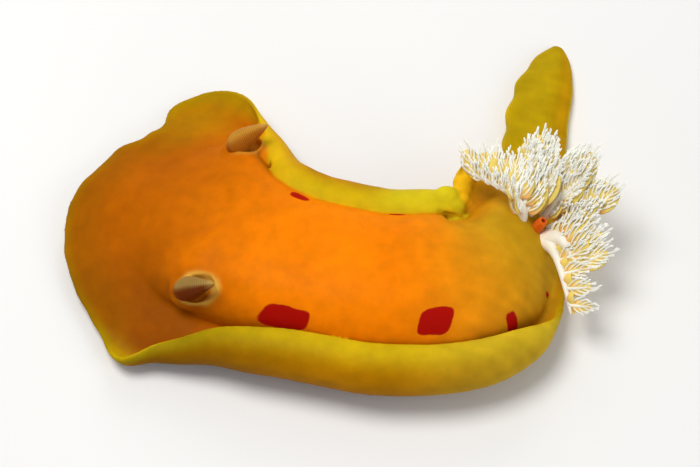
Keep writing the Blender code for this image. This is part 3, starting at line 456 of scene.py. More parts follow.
def points_of(item):
    co = np.empty(len(item.data.vertices) * 3)
    item.data.vertices.foreach_get("co", co)
    return co.reshape(-1, 3)


def joined(name, objects):
    """One mesh object from several, without their materials."""
    verts, faces, start = [], [], 0
    for item in objects:
        verts.append(points_of(item))
        faces += [[i + start for i in polygon.vertices] for polygon in item.data.polygons]
        start += len(verts[-1])
        bpy.data.objects.remove(item, do_unlink=True)
    return mesh_object(name, np.concatenate(verts), faces)


def add_modifier(item, kind, **settings):
    made = item.modifiers.new(kind.lower(), kind)
    for name, value in settings.items():
        setattr(made, name, value)


def applied(target):
    bpy.context.view_layer.update()
    evaluated = target.evaluated_get(bpy.context.evaluated_depsgraph_get())
    mesh = bpy.data.meshes.new_from_object(evaluated)
    target.modifiers.clear()
    target.data = mesh


def spread_values(item, values, rounds):
    """Average values over neighbouring points a few times."""
    edges = np.empty(len(item.data.edges) * 2, np.int32)
    item.data.edges.foreach_get("vertices", edges)
    first, second = edges.reshape(-1, 2).T
    count = np.bincount(edges, minlength=len(values)).astype(float)[:, None]
    for _ in range(rounds):
        total = np.zeros_like(values)
        for k in range(values.shape[1]):
            total[:, k] += np.bincount(first, values[second, k], len(values))
            total[:, k] += np.bincount(second, values[first, k], len(values))
        values = 0.5 * values + 0.5 * total / np.maximum(count, 1)
    return values


def store_colour(item, colours):
    rgba = np.ones((len(item.data.vertices), 4), np.float32)
    rgba[:, :3] = colours.reshape(-1, 3)
    attribute = item.data.color_attributes.new("flesh", "FLOAT_COLOR", "POINT")
    attribute.data.foreach_set("color", rgba.ravel())


# Flesh surfaces, with the samples that carry the colours

def rgb(*values):
    return np.array(values)


ORANGE = rgb(0.92, 0.226, 0.0)
HEAD_BROWN = rgb(0.47, 0.112, 0.0)
REAR_GOLD = rgb(0.47, 0.32, 0.010)
CORNER_SHADE = rgb(0.22, 0.055, 0.0)
BRIM_GOLD = rgb(0.29, 0.095, 0.0)
EDGE_GREEN = rgb(0.36, 0.25, 0.0)
FLAP_GOLD = rgb(0.88, 0.50, 0.008)
FAR_GOLD = rgb(0.50, 0.25, 0.0)
ROLL_LIME = rgb(0.66, 0.54, 0.010)
ROLL_SAND = rgb(0.58, 0.40, 0.020)
ROLL_BRIGHT = rgb(0.62, 0.43, 0.004)
ROLL_YELLOW = rgb(0.46, 0.19, 0.0)
ROLL_SHADE_BROWN = rgb(0.22, 0.075, 0.0)
SHADED_FOLD_ORANGE = rgb(0.72, 0.20, 0.0)
FOOT_ORANGE = rgb(0.66, 0.25, 0.008)
TAIL_MUSTARD = rgb(0.48, 0.32, 0.002)
TAIL_ORANGE = rgb(0.50, 0.25, 0.001)
TAIL_RIM = rgb(0.66, 0.46, 0.006)
MOUTH_ORANGE = rgb(0.68, 0.22, 0.01)
TENTACLE_ORANGE = MOUTH_ORANGE * 1.08
LIP_RED = rgb(0.50, 0.06, 0.006)
SHEATH_YELLOW = rgb(0.80, 0.47, 0.07)
PIT_SHADE = rgb(0.60, 0.20, 0.005)
PATCH_RED = rgb(0.42, 0.005, 0.0018)

# Zones of colour and of painted shade by angle round the body: centre and spread
HEAD_CORNER, NEAR_CORNER, FAR_LOBE, FAR_GLOW, REAR_TROUGH_SHADE = (50, 13), (46, 9), (322, 14), (323, 12), (216, 18)
# Bands of colour and of painted shade by angle: where each begins, is full, fades and ends
HEAD_SHADE_BAND, CORNER_FOLD_SHADE, NEAR_ROLL_END = (18, 36, 68, 86), (34, 46, 56, 92), (96, 128, 176, 188)
REAR_EDGE, FAR_ROLL_END, FAR_ROLL_FRONT = (184, 194, 226, 236), (238, 246, 260, 276), (291, 299, 318, 324)
# Limits of colour along the body, from the head at 0 to the rear at 1
HEAD_FADE, REAR_FADE, HEAD_STATION = (0.02, 0.40), (0.55, 0.92), 0.048

# Rounds of smoothing: of the fused skin, of its colours, and round the sheaths
SKIN_ROUNDS, COLOUR_ROUNDS, SHEATH_ROUNDS = 8, 5, 30

samples = []


def add_samples(points, colours, back=False):
    """Keep the colours of some points for the skin, and whether they lie on the back."""
    points = np.asarray(points).reshape(-1, 3)
    samples.append((points, np.broadcast_to(colours, points.shape), np.full(len(points), back)))


def build_trunk():
    angles = np.linspace(0, 360, 900, endpoint=False)
    rings = [level_ring(angles, 0.86, FOOT_HEIGHT - SINK), level_ring(angles, 0.92, FOOT_HEIGHT + 1 * MM)]
    rings.append(margin_point(angles, 0.0, -1.0))
    for out in np.concatenate([[1.0, 0.985], np.linspace(0.965, 0, 60)]):
        rings.append(back_point(angles, out))
        add_samples(rings[-1], back_colour(angles, out), back=True)
    trunk = loft_object("trunk", rings)
    bm = bmesh.new()
    bm.from_mesh(trunk.data)
    bm.faces.ensure_lookup_table()
    bmesh.ops.delete(bm, geom=[bm.faces[-1]], context="FACES_ONLY")
    bmesh.ops.remove_doubles(bm, verts=bm.verts, dist=0.02 * MM)
    bm.to_mesh(trunk.data)
    bm.free()
    return trunk


def back_colour(angles, out):
    middle = inner_line(angles)[1]
    station = middle + (np.clip(station_of(angles), HEAD_STATION, 1) - middle) * out
    # Painted shade: the head's lower flank is darkened by up to a fifth
    low = band(angles, *HEAD_SHADE_BAND) * smoothstep(0.5, 0.95, out)
    # Painted shade: the back's edge turns brown where the roll lies over it, less so by the near rhinophore
    crease_shade = smoothstep(0.8, 1.0, out) * 0.55 * around(MARGIN_ROLL, angles) * (1 - around(FOLD_START, angles))
    colour = layered(
        ORANGE,
        (HEAD_BROWN, 1 - smoothstep(*HEAD_FADE, station)),
        (REAR_GOLD, smoothstep(*REAR_FADE, station) * 0.85),
        # Painted shade: a darker orange in the trough before the rear flap, and shade in the head's corner
        (SHADED_FOLD_ORANGE, bell(angles, *REAR_TROUGH_SHADE) * smoothstep(0.5, 0.85, out) * 0.5),
        (CORNER_SHADE, bell(angles, *HEAD_CORNER) * smoothstep(0.7, 1.0, out) * 0.5),
    )
    colour = colour * (1 - 0.2 * low)[:, None]
    return mixed(colour, ROLL_SHADE_BROWN, crease_shade * (0.2 + 0.8 * smoothstep(62, 84, angles)))


def build_margin():
    angles = np.linspace(0, 360, 1080, endpoint=False)
    shares = np.concatenate([np.linspace(0, 0.94, 44), np.linspace(0.955, 1, 4)])
    upper = [(0.0, 1.0, -SINK * 1.6)] + [(fold_across(angles, share), 1.0, 0.0) for share in shares]
    edge = []
    for turn in np.linspace(0, math.pi, 9)[1:-1]:
        beyond = 0.5 * EDGE_THICKNESS * math.sin(turn) / (around(MARGIN_REACH, angles) * MM)
        edge.append((1 + beyond, math.cos(turn), 0.0))
    lower = [(across, -1.0, offset) for across, _, offset in reversed(upper)]
    columns = []
    for across, side, offset in upper + edge + lower:
        columns.append(margin_point(angles, across, side, offset))
        colour = edge_colour(angles) if abs(side) < 1 else margin_colour(angles, across, side)
        add_samples(columns[-1], colour)
    return loft_object("margin", np.stack(columns, 1), wrap_rows=True)


def greenness(angles):
    """How green the brim's edge is: most at its near corner and on its far lobe."""
    return np.minimum(bell(angles, *NEAR_CORNER) + 0.5 * bell(angles, *FAR_LOBE), 1)


def edge_colour(angles):
    brim = mixed(BRIM_GOLD, EDGE_GREEN, 0.4 + 0.6 * greenness(angles))
    return mixed(brim, ROLL_BRIGHT, around(MARGIN_ROLL, angles))


def margin_colour(angles, across, side):
    """Colour of the margin: brown orange where it lies flat, golden where it is rolled, with painted shade in
    brown at the roll's foot.
    """
    rolled = smoothstep(0.05, 0.6, around(MARGIN_ROLL, angles))
    rear = band(angles, *REAR_EDGE)
    if side > 0:
        base = back_colour(angles, 1.0)
        flat = layered(
            base,
            (BRIM_GOLD, smoothstep(0.1, 0.8, across) * 0.65),
            (FAR_GOLD, bell(angles, *FAR_GLOW) * smoothstep(0.0, 0.6, across) * 0.6),
            (FLAP_GOLD, rear * smoothstep(0.25, 0.75, across) * 0.9),
            (EDGE_GREEN, smoothstep(0.82, 1.0, across) * (0.3 + 0.65 * greenness(angles))),
        )
        return mixed(flat, mixed(base, ROLL_BRIGHT, smoothstep(0.55, 1.0, across) * 0.9), rolled)
    fold = around(FOLD_START, angles)
    beyond = np.clip((across - fold) / (1 - fold), 0, 1)
    # The roll's outside runs from brown at its foot through yellow to bright at its top: painted shade,
    # darker towards the bottom
    curled = layered(
        ROLL_SHADE_BROWN,
        (ROLL_YELLOW, smoothstep(0.2, 0.62, beyond)),
        (ROLL_BRIGHT, smoothstep(0.62, 0.95, beyond)),
        (ROLL_LIME, band(angles, *FAR_ROLL_END) * smoothstep(0.3, 0.7, beyond) * 0.8),
        (FLAP_GOLD, band(angles, *FAR_ROLL_FRONT) * smoothstep(0.2, 0.6, beyond) * 0.45),
        (ROLL_SAND, band(angles, *NEAR_ROLL_END) * 0.75),
    )
    # Painted shade in the fold at the near corner, darker by up to 42 percent
    curled = curled * (1 - 0.42 * band(angles, *CORNER_FOLD_SHADE))[:, None]
    flat = mixed(FOOT_ORANGE, EDGE_GREEN, smoothstep(0.6, 1, across) * 0.7)
    return layered(flat, (curled, rolled), (FLAP_GOLD, rear * smoothstep(0.3, 0.8, across) * 0.85))


# Rounded folds: place on the margin as angle and share across it, lift and radius in mm
ROLL_END_FOLDS = [
    (245, 0.70, -1.0, 5.2), (240, 0.70, -0.5, 5.0), (241, 0.35, 3.0, 5.0), (237, 0.45, 2.0, 4.8),
]
REAR_FOLDS = [
    (234, 0.60, 0.5, 4.2), (229, 0.60, 0.5, 3.6), (196.5, 0.72, -0.5, 3.2), (198.5, 0.75, -0.5, 3.5),
    (200.5, 0.78, -0.5, 3.7), (202.5, 0.80, -0.5, 3.9), (204.5, 0.81, -0.5, 4.0), (206.5, 0.82, -0.5, 4.1),
    (208.5, 0.84, -0.5, 4.1), (211, 0.84, -0.5, 3.9), (214, 0.80, -0.5, 3.6),
]
# The saddle's folds are coloured in painted shade, a darker orange where the far roll meets the back
SADDLE_FOLDS = [
    (308.5, 0.20, 4.5, 4.8), (305, 0.15, 4.5, 4.2), (306.8, 0.20, 5.0, 4.6), (310.2, 0.30, 5.0, 4.6),
    (308, 0.12, 6.0, 5.0), (306, 0.12, 6.5, 4.8), (312, 0.42, 5.0, 4.6), (313.5, 0.50, 5.0, 4.0),
]


def build_folds():
    """Soft rounded folds laid along the margin, where its roll ends and where its rear edge turns over."""
    turn = full_turn(32)
    level = np.stack([np.cos(turn), np.sin(turn), np.zeros(32)], -1)
    polar = np.linspace(0.06, math.pi - 0.06, 16)[:, None, None]
    ball = level * np.sin(polar) + UP * np.cos(polar)
    made = []
    # The saddle's folds take the darker orange of painted shade
    for colour, folds in ((ROLL_LIME, ROLL_END_FOLDS), (FLAP_GOLD, REAR_FOLDS), (SHADED_FOLD_ORANGE, SADDLE_FOLDS)):
        for angle, across, lift, size in folds:
            rings = margin_point(angle, across, 0.0) + (UP * lift + ball * size) * MM
            add_samples(rings, colour)
            made.append(loft_object("fold", rings))
    return made


def build_foot():
    angles = np.linspace(0, 360, 720, endpoint=False)
    rings = []
    for share, height, weight in FOOT_PROFILE:
        rings.append(level_ring(angles, share + waves(angles, FOOT_WAVES) * weight, height * MM))
        add_samples(rings[-1], mixed(FOOT_ORANGE, TAIL_MUSTARD, 0.3))
    for share in np.linspace(0, 0.8, 40):
        add_samples(level_ring(angles, share, 0.0), FOOT_ORANGE)
    return loft_object("foot", rings)


def tail_line(station):
    return np.stack([smooth_keys(keys, station, TAIL_LINE_SMOOTHING) for keys in (TAIL_X, TAIL_Y)], -1) * MM


def build_tail():
    """Free end of the foot: a flat-soled tongue with a soft thick left edge and a thin raised right edge."""
    rings = []
    turn = np.linspace(0, math.pi, 61)
    for station in np.concatenate([np.linspace(0.12, 0.97, 210), np.linspace(0.975, 1.0, 14)]):
        centre = tail_line(station)
        forward = unit(tail_line(station + TAIL_STEP) - centre)
        right = np.array([forward[1], -forward[0]])
        width = smooth_keys(TAIL_HALF_WIDTH, station, TAIL_WIDTH_SMOOTHING) * MM
        height = smooth_keys(TAIL_HEIGHT, station, TAIL_HEIGHT_SMOOTHING) * MM
        squareness = np.interp(station, *TAIL_SQUARENESS)
        lump = 1 + TAIL_LUMP * np.sin(station * TAIL_LUMP_TURN) * smoothstep(*TAIL_LUMPED, station)
        side = np.sign(np.cos(turn)) * np.abs(np.cos(turn)) ** (2 / squareness)
        rise = TAIL_EDGE + (1 - TAIL_EDGE) * np.sin(turn) ** (2 / squareness)
        groove = TAIL_GROOVE[0] * bell(side, *TAIL_GROOVE[1:]) - TAIL_SWELL[0] * bell(side, *TAIL_SWELL[1:])
        rise = rise * (1 - groove * smoothstep(*TAIL_GROOVED, station))
        side = np.concatenate([[TAIL_SOLE], side, [-TAIL_SOLE]])
        side = np.where(side < 0, side * lump, side)
        rise = np.concatenate([[0], rise, [0]])
        plan = centre + side[:, None] * width * right
        rings.append(np.concatenate([plan, (rise * height)[:, None]], -1))
        add_samples(rings[-1], layered(
            TAIL_MUSTARD,
            (TAIL_ORANGE, smoothstep(0.1, 0.75, side) * 0.8),
            (TAIL_ORANGE, 0.7 * (1 - smoothstep(0.4, 0.6, station))),
            (TAIL_RIM, smoothstep(0.93, 0.99, side) * 0.9),
            (TAIL_RIM, smoothstep(-0.9, -1.0, side) * 0.35),
        ))
    return loft_object("tail_form", rings)


def build_snout():
    turn = full_turn(72)
    facing = np.clip(np.cos(turn + MOUTH_TILT), 0, 1)
    rings = []
    for place in np.linspace(-1, 1, 121) * (SNOUT_HALF_WIDTH + SNOUT_OVERHANG):
        share = (1 - (abs(place) / (SNOUT_TAPER * SNOUT_HALF_WIDTH)) ** SNOUT_POWER) ** 0.5
        slit = MOUTH_DEPTH * bell(place, 0, MOUTH_WIDTH)
        lip = LIP_SWELL * bell(abs(place), LIP_PLACE, LIP_WIDTH)
        shape = share * (1 + (lip - slit) * facing)
        forward = SNOUT_FORWARD + SNOUT_DEPTH * shape * np.cos(turn)
        rings.append(front_point(forward, place, SNOUT_UP + SNOUT_RISE * shape * np.sin(turn)))
        add_samples(rings[-1], mixed(MOUTH_ORANGE, LIP_RED, bell(place, 0, 1.3 * MOUTH_WIDTH) * facing))
    return loft_object("snout_form", rings)


def build_tentacle(side):
    turn = full_turn(48)
    rings = []
    for share in np.linspace(-0.05, 1.0, 40):
        keys = (TENTACLE_FORWARD, TENTACLE_DEPTH, TENTACLE_UP, TENTACLE_THICKNESS)
        forward, depth, up, thickness = (smooth_keys(key, share, 0.05) * MM for key in keys)
        left = side * (SNOUT_HALF_WIDTH + TENTACLE_LENGTH * share)
        rings.append(front_point(forward + depth * np.cos(turn), left, up + thickness * np.sin(turn)))
    paths = []
    for i in range(FINGER_COUNT):
        angle = math.radians(FINGER_FIRST - FINGER_FAN * i / (FINGER_COUNT - 1))
        length = FINGER_LENGTH * (0.85 + 0.2 * math.sin(i * 2.4))
        reach = np.linspace(FINGER_START, FINGER_START + length, 8)
        left = SNOUT_HALF_WIDTH + 0.6 * TENTACLE_LENGTH + reach * math.cos(angle)
        paths.append(front_point(FINGER_FORWARD + reach * math.sin(angle), side * left, FINGER_UP))
    radii = [np.linspace(*FINGER_RADII, 8)] * FINGER_COUNT
    made = [loft_object("lobe", rings), mesh_object("fingers", *stroke_batch(paths, radii, None, 14))]
    for item in made:
        add_samples(points_of(item), TENTACLE_ORANGE)
    return made


def rhinophore_places():
    """Each rhinophore's name, the middle of its sheath, the ways up, along and across it, and its lean."""
    for name, angle, out, axis, lean in RHINOPHORES:
        up, lean = unit(np.array(axis)), np.array(lean)
        length = unit(lean - up * (lean @ up))
        middle = back_point(angle, out) + length * COLLAR_SHIFT
        yield name, middle, (up, length, np.cross(up, length)), unit(lean)


def round_collars(points):
    """For each sheath, its name, the points' heights over it and their distances from its oval's axis."""
    for name, middle, (up, length, side), _ in rhinophore_places():
        relative = points - middle
        yield name, relative @ up, np.hypot(relative @ length / PIT_STRETCH, relative @ side)


def oval_rings(middle, directions, profile):
    up, length, side = directions
    turn = full_turn(96)
    scallop = 1 + COLLAR_WOBBLE * (np.sin(5 * turn + 1) + 0.7 * np.sin(9 * turn))
    plan = np.cos(turn)[:, None] * PIT_STRETCH * length + np.sin(turn)[:, None] * side
    lift = (1 + 1.6 * COLLAR_WOBBLE * np.sin(3 * turn + 2))[:, None] * up
    return [middle + height * lift + plan * (radius * scallop)[:, None] for height, radius in profile]


def build_collars():
    """Outer walls of the sheaths, and the pits to be cut into them."""
    wall = [(COLLAR_FOOT, COLLAR_BASE)]
    for share in np.linspace(0, 1, 10):
        flare = COLLAR_TOP + (COLLAR_BASE - COLLAR_TOP) * (1 - share) ** 2
        wall.append((COLLAR_ROOT + (COLLAR_RISE - COLLAR_ROOT) * share, flare))
    wall.append((COLLAR_RISE + 0.35 * MM, COLLAR_TOP - 0.5 * MM))
    pit = [
        (-PIT_DEPTH, PIT_RADIUS * 0.85), (-PIT_DEPTH + 0.8 * MM, PIT_RADIUS), (COLLAR_RISE * 0.4, PIT_RADIUS),
        (COLLAR_RISE, PIT_RADIUS + 0.35 * MM), (3 * COLLAR_RISE, PIT_RADIUS + 1.8 * MM),
    ]
    places = list(rhinophore_places())
    walls = [loft_object("collar", oval_rings(middle, ways, wall)) for _, middle, ways, _ in places]
    pits = [loft_object("pit", oval_rings(middle, ways, pit)) for _, middle, ways, _ in places]
    return walls, pits


def fused_skin():
    flesh = [build_trunk(), build_margin(), build_foot(), build_tail(), build_snout()]
    flesh += build_tentacle(1) + build_tentacle(-1) + build_folds()
    walls, pits = build_collars()
    skin = joined("skin", flesh + walls)
    add_modifier(skin, "REMESH", mode="VOXEL", voxel_size=VOXEL)
    applied(skin)
    for pit in pits:
        add_modifier(skin, "BOOLEAN", operation="DIFFERENCE", object=pit, solver="MANIFOLD")
    applied(skin)
    for pit in pits:
        bpy.data.objects.remove(pit, do_unlink=True)
    add_modifier(skin, "REMESH", mode="VOXEL", voxel_size=VOXEL)
    add_modifier(skin, "SMOOTH", factor=0.5, iterations=SKIN_ROUNDS)
    applied(skin)
    return skin


# Red patches on the back: angle, share of the way out, half length, half width in mm, skew, power
PATCHES = [
    (78, 0.83, 9.4, 4.8, 0.45, 3.6),
    (108.5, 0.69, 6.2, 5.2, 0.35, 4.0),
    (122, 0.87, 2.4, 4.9, 0.15, 3.5),
    (134, 0.97, 1.0, 1.8, 0.0, 2.5),
    (290, 0.79, 3.9, 2.0, 0.0, 2.5),
    (261, 0.88, 3.2, 1.8, 0.0, 2.5),
    (246, 0.86, 1.5, 1.2, 0.0, 2.5),
]
PATCH_FAR, PATCH_LIMIT, PATCH_REACH, PATCH_WOBBLE = 30.0, 3.0, 4.5, 0.16
# Random unevenness of the tone and of the surface: strength, size in mm, seed, number of waves
TONE_FIELDS = [(0.035, 30, 1, 14), (0.02, 8, 2, 14)]
SURFACE_FIELDS = [(0.12 * MM, 24, 11, 14), (0.035 * MM, 7, 12, 14), (0.014 * MM, 2.6, 13, 24)]
# Turns points so that features run long and slanting over the rear of the back
STREAK_FRAME = np.array([[0.24, 0.45, 0.0], [-0.12, 0.90, 0.0], [0.0, 0.0, 0.5]])
STREAK_SIZE, STREAK_STRENGTH, TONE_LIMITS = 5.0 * MM, 0.06, (0.82, 1.18)
# Limits in x within which the streaks set in, and in y within which they end on the tail
STREAK_START, STREAK_END = (10 * MM, 55 * MM), (95 * MM, 110 * MM)
# Heights over a sheath within which the skin is coloured and softened, the level above which it is softened,
# and the levels between which the skin's unevenness sets in
SHEATH_NEAR, SHEATH_SOFT_NEAR, SHEATH_SOFT_LEVEL = 8 * MM, 9 * MM, 14 * MM
UNEVEN_LEVELS = (1.5 * MM, 6 * MM)


def patch_distance(points):
    """Distance to the nearest red patch's outline, below 0 inside it, in mm."""
    nearest = np.full(len(points), PATCH_FAR)
    wobble = PATCH_WOBBLE * field(points, 7 * MM, 5)
    for angle, out, half_length, half_width, skew, power in PATCHES:
        ahead = unit(back_point(angle + 1, out) - back_point(angle - 1, out))
        outer = back_point(angle, out + 0.02) - back_point(angle, out - 0.02)
        outer = unit(outer - ahead * (outer @ ahead))
        relative = (points - back_point(angle, out)) / MM
        u, v = relative @ ahead, relative @ outer
        depth = np.linalg.norm(relative - np.outer(u, ahead) - np.outer(v, outer), axis=1)
        shape = np.abs((u + skew * v) / half_length) ** power + np.abs(v / half_width) ** power
        distance = (shape ** (1 / power) - 1) * min(half_length, half_width) + wobble
        nearest = np.minimum(nearest, np.where(depth > PATCH_REACH, PATCH_FAR, distance))
    return np.minimum(nearest, PATCH_LIMIT)


def unevenness(points, fields):
    return sum(strength * field(points, size * MM, seed, count) for strength, size, seed, count in fields)


def colour_skin(skin):
    at, colours, back = (np.concatenate(part) for part in zip(*samples))
    tree = KDTree(len(at))
    for i, point in enumerate(at.tolist()):
        tree.insert(point, i)
    tree.balance()
    points = points_of(skin)
    found = np.array([tree.find(point)[1] for point in points.tolist()])
    values = spread_values(skin, colours[found], COLOUR_ROUNDS)
    for name, height, plan in round_collars(points):
        near = np.abs(height) < SHEATH_NEAR
        rim = bell(plan, RIM_RADIUS, RIM_SPREAD) * smoothstep(-1.2 * MM, COLLAR_RISE, height)
        pit = 1 - smoothstep(PIT_RADIUS * 0.92, PIT_RADIUS * 1.12, plan)
        pit = pit * (1 - smoothstep(-1 * MM, 1.8 * MM, height))
        # A pale rim round each sheath, and painted shade darkening the pit inside it
        values = layered(
            values, (SHEATH_YELLOW, rim * RIM_PALENESS[name] * near), (PIT_SHADE, pit * near * 0.9),
        )
    streaks = STREAK_STRENGTH * field(points @ STREAK_FRAME, STREAK_SIZE, 3)
    streaks = streaks * smoothstep(*STREAK_START, points[:, 0])
    tone = 1 + unevenness(points, TONE_FIELDS) + streaks * (1 - smoothstep(*STREAK_END, points[:, 1]))
    store_colour(skin, values * np.clip(tone, *TONE_LIMITS)[:, None])
    distance = np.where(back[found], patch_distance(points), PATCH_LIMIT)
    attribute = skin.data.attributes.new("patch", "FLOAT", "POINT")
    attribute.data.foreach_set("value", distance.astype(np.float32))


def shape_skin(skin):
    """Soft unevenness of living skin, on the upper side more than on the sole."""
    points = points_of(skin)
    softer = spread_values(skin, points, SHEATH_ROUNDS)
    for _, height, plan in round_collars(points):
        near = (np.abs(height) < SHEATH_SOFT_NEAR) & (points[:, 2] > SHEATH_SOFT_LEVEL)
        blend = band(plan, *COLLAR_SOFT) * near
        points = mixed(points, softer, blend)
    normals = np.empty(points.size)
    skin.data.vertex_normals.foreach_get("vector", normals)
    lift = unevenness(points, SURFACE_FIELDS) * smoothstep(*UNEVEN_LEVELS, points[:, 2])
    moved = points + normals.reshape(-1, 3) * lift[:, None]
    skin.data.vertices.foreach_set("co", moved.ravel())
    skin.data.update()


# Materials

FLESH_DEPTH = (1.0, 0.35, 0.08)
GILL_DEPTH = (0.3, 0.25, 0.16)
SCATTER_SCALE, FLESH_IOR, RELIEF_HEIGHT = 0.003, 1.38, 0.0003
MOTTLE_SIZE, GRAIN_SIZE, WANDER_SIZE, PAPER_SIZE = 160.0, 1400.0, 900.0, 3.0


def fill(tree, node, inputs):
    """Give each named input of a node a value, or link it to another node's output."""
    for name, value in inputs.items():
        if isinstance(value, bpy.types.NodeSocket):
            tree.links.new(value, node.inputs[name])
        else:
            node.inputs[name].default_value = value


def new_material(name):
    made = bpy.data.materials.new(name)
    made.use_nodes = True
    return made, made.node_tree, made.node_tree.nodes["Principled BSDF"]


def noise(tree, scale, detail, roughness=0.55):
    place = tree.nodes.new("ShaderNodeTexCoord").outputs["Object"]
    node = tree.nodes.new("ShaderNodeTexNoise")
    fill(tree, node, {"Vector": place, "Scale": scale, "Detail": detail, "Roughness": roughness})
    return node.outputs["Fac"]


def colour_mix(tree, blend_type, factor, first, second):
    node = tree.nodes.new("ShaderNodeMix")
    node.data_type = "RGBA"
    node.blend_type = blend_type
    fill(tree, node, {"Factor": factor, "A": first, "B": second})
    return node.outputs["Result"]


def ramp(tree, value, low, high, from_min=0.3, from_max=0.7):
    node = tree.nodes.new("ShaderNodeMapRange")
    limits = {"From Min": from_min, "From Max": from_max, "To Min": low, "To Max": high}
    fill(tree, node, {"Value": value, **limits})
    return node.outputs["Result"]


def attribute_node(tree, name):
    node = tree.nodes.new("ShaderNodeAttribute")
    node.attribute_name = name
    return node


def with_patches(tree, base):
    """The base colour with the red patches over it, their outlines slightly uneven."""
    total = tree.nodes.new("ShaderNodeMath")
    wander = ramp(tree, noise(tree, WANDER_SIZE, 3.0), -0.08, 0.08)
    fill(tree, total, {0: attribute_node(tree, "patch").outputs["Fac"], 1: wander})
    inside = ramp(tree, total.outputs[0], 1.0, 0.0, -0.18, 0.18)
    return colour_mix(tree, "MIX", inside, base, (*PATCH_RED, 1))


def flesh_material(name, roughness, scatter, bump, shine=0.1, depth=FLESH_DEPTH, patches=False):
    made, tree, shader = new_material(name)
    mottle = noise(tree, MOTTLE_SIZE, 4.0)
    colour = attribute_node(tree, "flesh").outputs["Color"]
    base = colour_mix(tree, "MULTIPLY", 1.0, colour, ramp(tree, mottle, 0.9, 1.08))
    relief = tree.nodes.new("ShaderNodeBump")
    fill(tree, relief, {
        "Strength": bump, "Distance": RELIEF_HEIGHT, "Height": noise(tree, GRAIN_SIZE, 4.0, 0.6),
    })
    fill(tree, shader, {
        "Base Color": with_patches(tree, base) if patches else base,
        "Roughness": ramp(tree, mottle, *roughness),
        "Normal": relief.outputs["Normal"],
        "Subsurface Weight": scatter,
        "Subsurface Radius": depth,
        "Subsurface Scale": SCATTER_SCALE,
        "IOR": FLESH_IOR,
        "Specular IOR Level": shine,
        "Coat Weight": shine * 0.2,
        "Coat Roughness": 0.3,
    })
    return made


# Rhinophores

# Each club's colour on its side towards CLUB_LIGHT and on its far side: painted light and painted shade
CLUB_COLOURS = {
    "rhinophore_left": (rgb(0.36, 0.22, 0.055), rgb(0.17, 0.030, 0.002)),
    "rhinophore_right": (rgb(0.60, 0.28, 0.03), rgb(0.48, 0.15, 0.008)),
}
CLUB_ROOT = rgb(0.24, 0.045, 0.002)
CLUB_TIP = rgb(0.52, 0.32, 0.07)


def club_surface(t, turn):
    """Radius of a club along and round it, and how far each place stands out between two leaves."""
    closing = np.clip((t - CLUB_CLOSE) / (1 - CLUB_CLOSE), 0, 1)
    radius = smooth_keys(CLUB_PROFILE, t, 0.05) * MM * np.sqrt(np.clip(1 - closing ** 2, 0.0004, 1))
    club = np.clip((t - CLUB_START) / (1 - CLUB_START), 0, 1)
    phase = club[:, None] + LAMELLA_SLANT * np.cos(turn)
    wave = 1 - (0.5 + 0.5 * np.cos(2 * math.pi * LAMELLAE * phase)) ** 2
    window = band(club, *LAMELLA_WINDOW)[:, None]
    front = bell(turn, 0, FRONT_STRIP[1]) + bell(turn, 2 * math.pi, FRONT_STRIP[1])
    strips = FRONT_STRIP[0] * front + BACK_STRIP[0] * bell(turn, math.pi, BACK_STRIP[1])
    depth = LAMELLA_DEPTH * window * np.clip(1 - strips, 0, 1)
    return radius[:, None] * (1 - depth * (1 - wave)), wave * window + (1 - window)


def build_rhinophores():
    made = []
    t, turn = np.linspace(0, 1, 380), full_turn(96)
    surface, crest = club_surface(t, turn)
    for name, middle, (up, length, _), lean in rhinophore_places():
        start = middle - up * CLUB_SINK - length * CLUB_BACK
        bend = start + up * STALK_RISE
        path = quadratic(start, bend, bend + lean * CLUB_RISE, len(t))
        tangent = unit(np.gradient(path, axis=0))
        across = unit(np.cross(tangent, np.cross(lean, up)))
        other = np.cross(tangent, across)
        spokes = across[:, None] * np.cos(turn)[:, None] + other[:, None] * np.sin(turn)[:, None]
        item = loft_object(name + "_club", path[:, None] + spokes * surface[..., None])
        lit, shaded = CLUB_COLOURS[name]
        # Painted light and shade: lighter on the side facing CLUB_LIGHT, darker on the other
        colour = mixed(shaded, lit, smoothstep(-0.3, 0.35, spokes @ CLUB_LIGHT))
        colour = colour * (1 - LAMELLA_SHADE * (1 - crest))[..., None]
        root, tip = 0.7 * (1 - smoothstep(0.12, 0.36, t)), 0.5 * smoothstep(0.82, 1.0, t)
        store_colour(item, layered(colour, (CLUB_ROOT, root[:, None]), (CLUB_TIP, tip[:, None])))
        made.append(item)
    return made


# Gills

STEM_ROOT = rgb(0.95, 0.90, 0.76)
STEM_CREAM = rgb(0.97, 0.93, 0.80)
TWIG_WHITE = rgb(0.97, 0.97, 0.88)
TWIG_CREAM = rgb(0.94, 0.76, 0.34)
# Webs and veil are pink orange near the stem as painted shade deep in the gill, and yellow further out
WEB_SHADE_PINK = rgb(0.90, 0.46, 0.16)
WEB_YELLOW = rgb(0.88, 0.68, 0.16)
# Strokes of a gill: number of sides, colours at the root and at the tip, and where one turns into the other
STROKES = {
    "stem": (16, STEM_ROOT, STEM_CREAM, 0.02, 0.14),
    "branch": (10, STEM_CREAM, TWIG_WHITE, 0.0, 0.8),
    "veil": (24, WEB_SHADE_PINK, WEB_YELLOW, 0.0, 0.6),
    "web": (14, WEB_SHADE_PINK, WEB_YELLOW, 0.0, 0.4),
    "filament": (8, TWIG_CREAM, TWIG_WHITE, 0.1, 0.75),
    "fork": (7, TWIG_WHITE, TWIG_WHITE, 0.0, 1.0),
}


def surface_below(tree, point):
    hit, normal, _, _ = tree.ray_cast((point[0], point[1], 1.0), -UP)
    return (0.0, UP) if hit is None else (hit.z, np.array(normal))


def height_over(tree, point):
    return point[2] - surface_below(tree, point)[0]


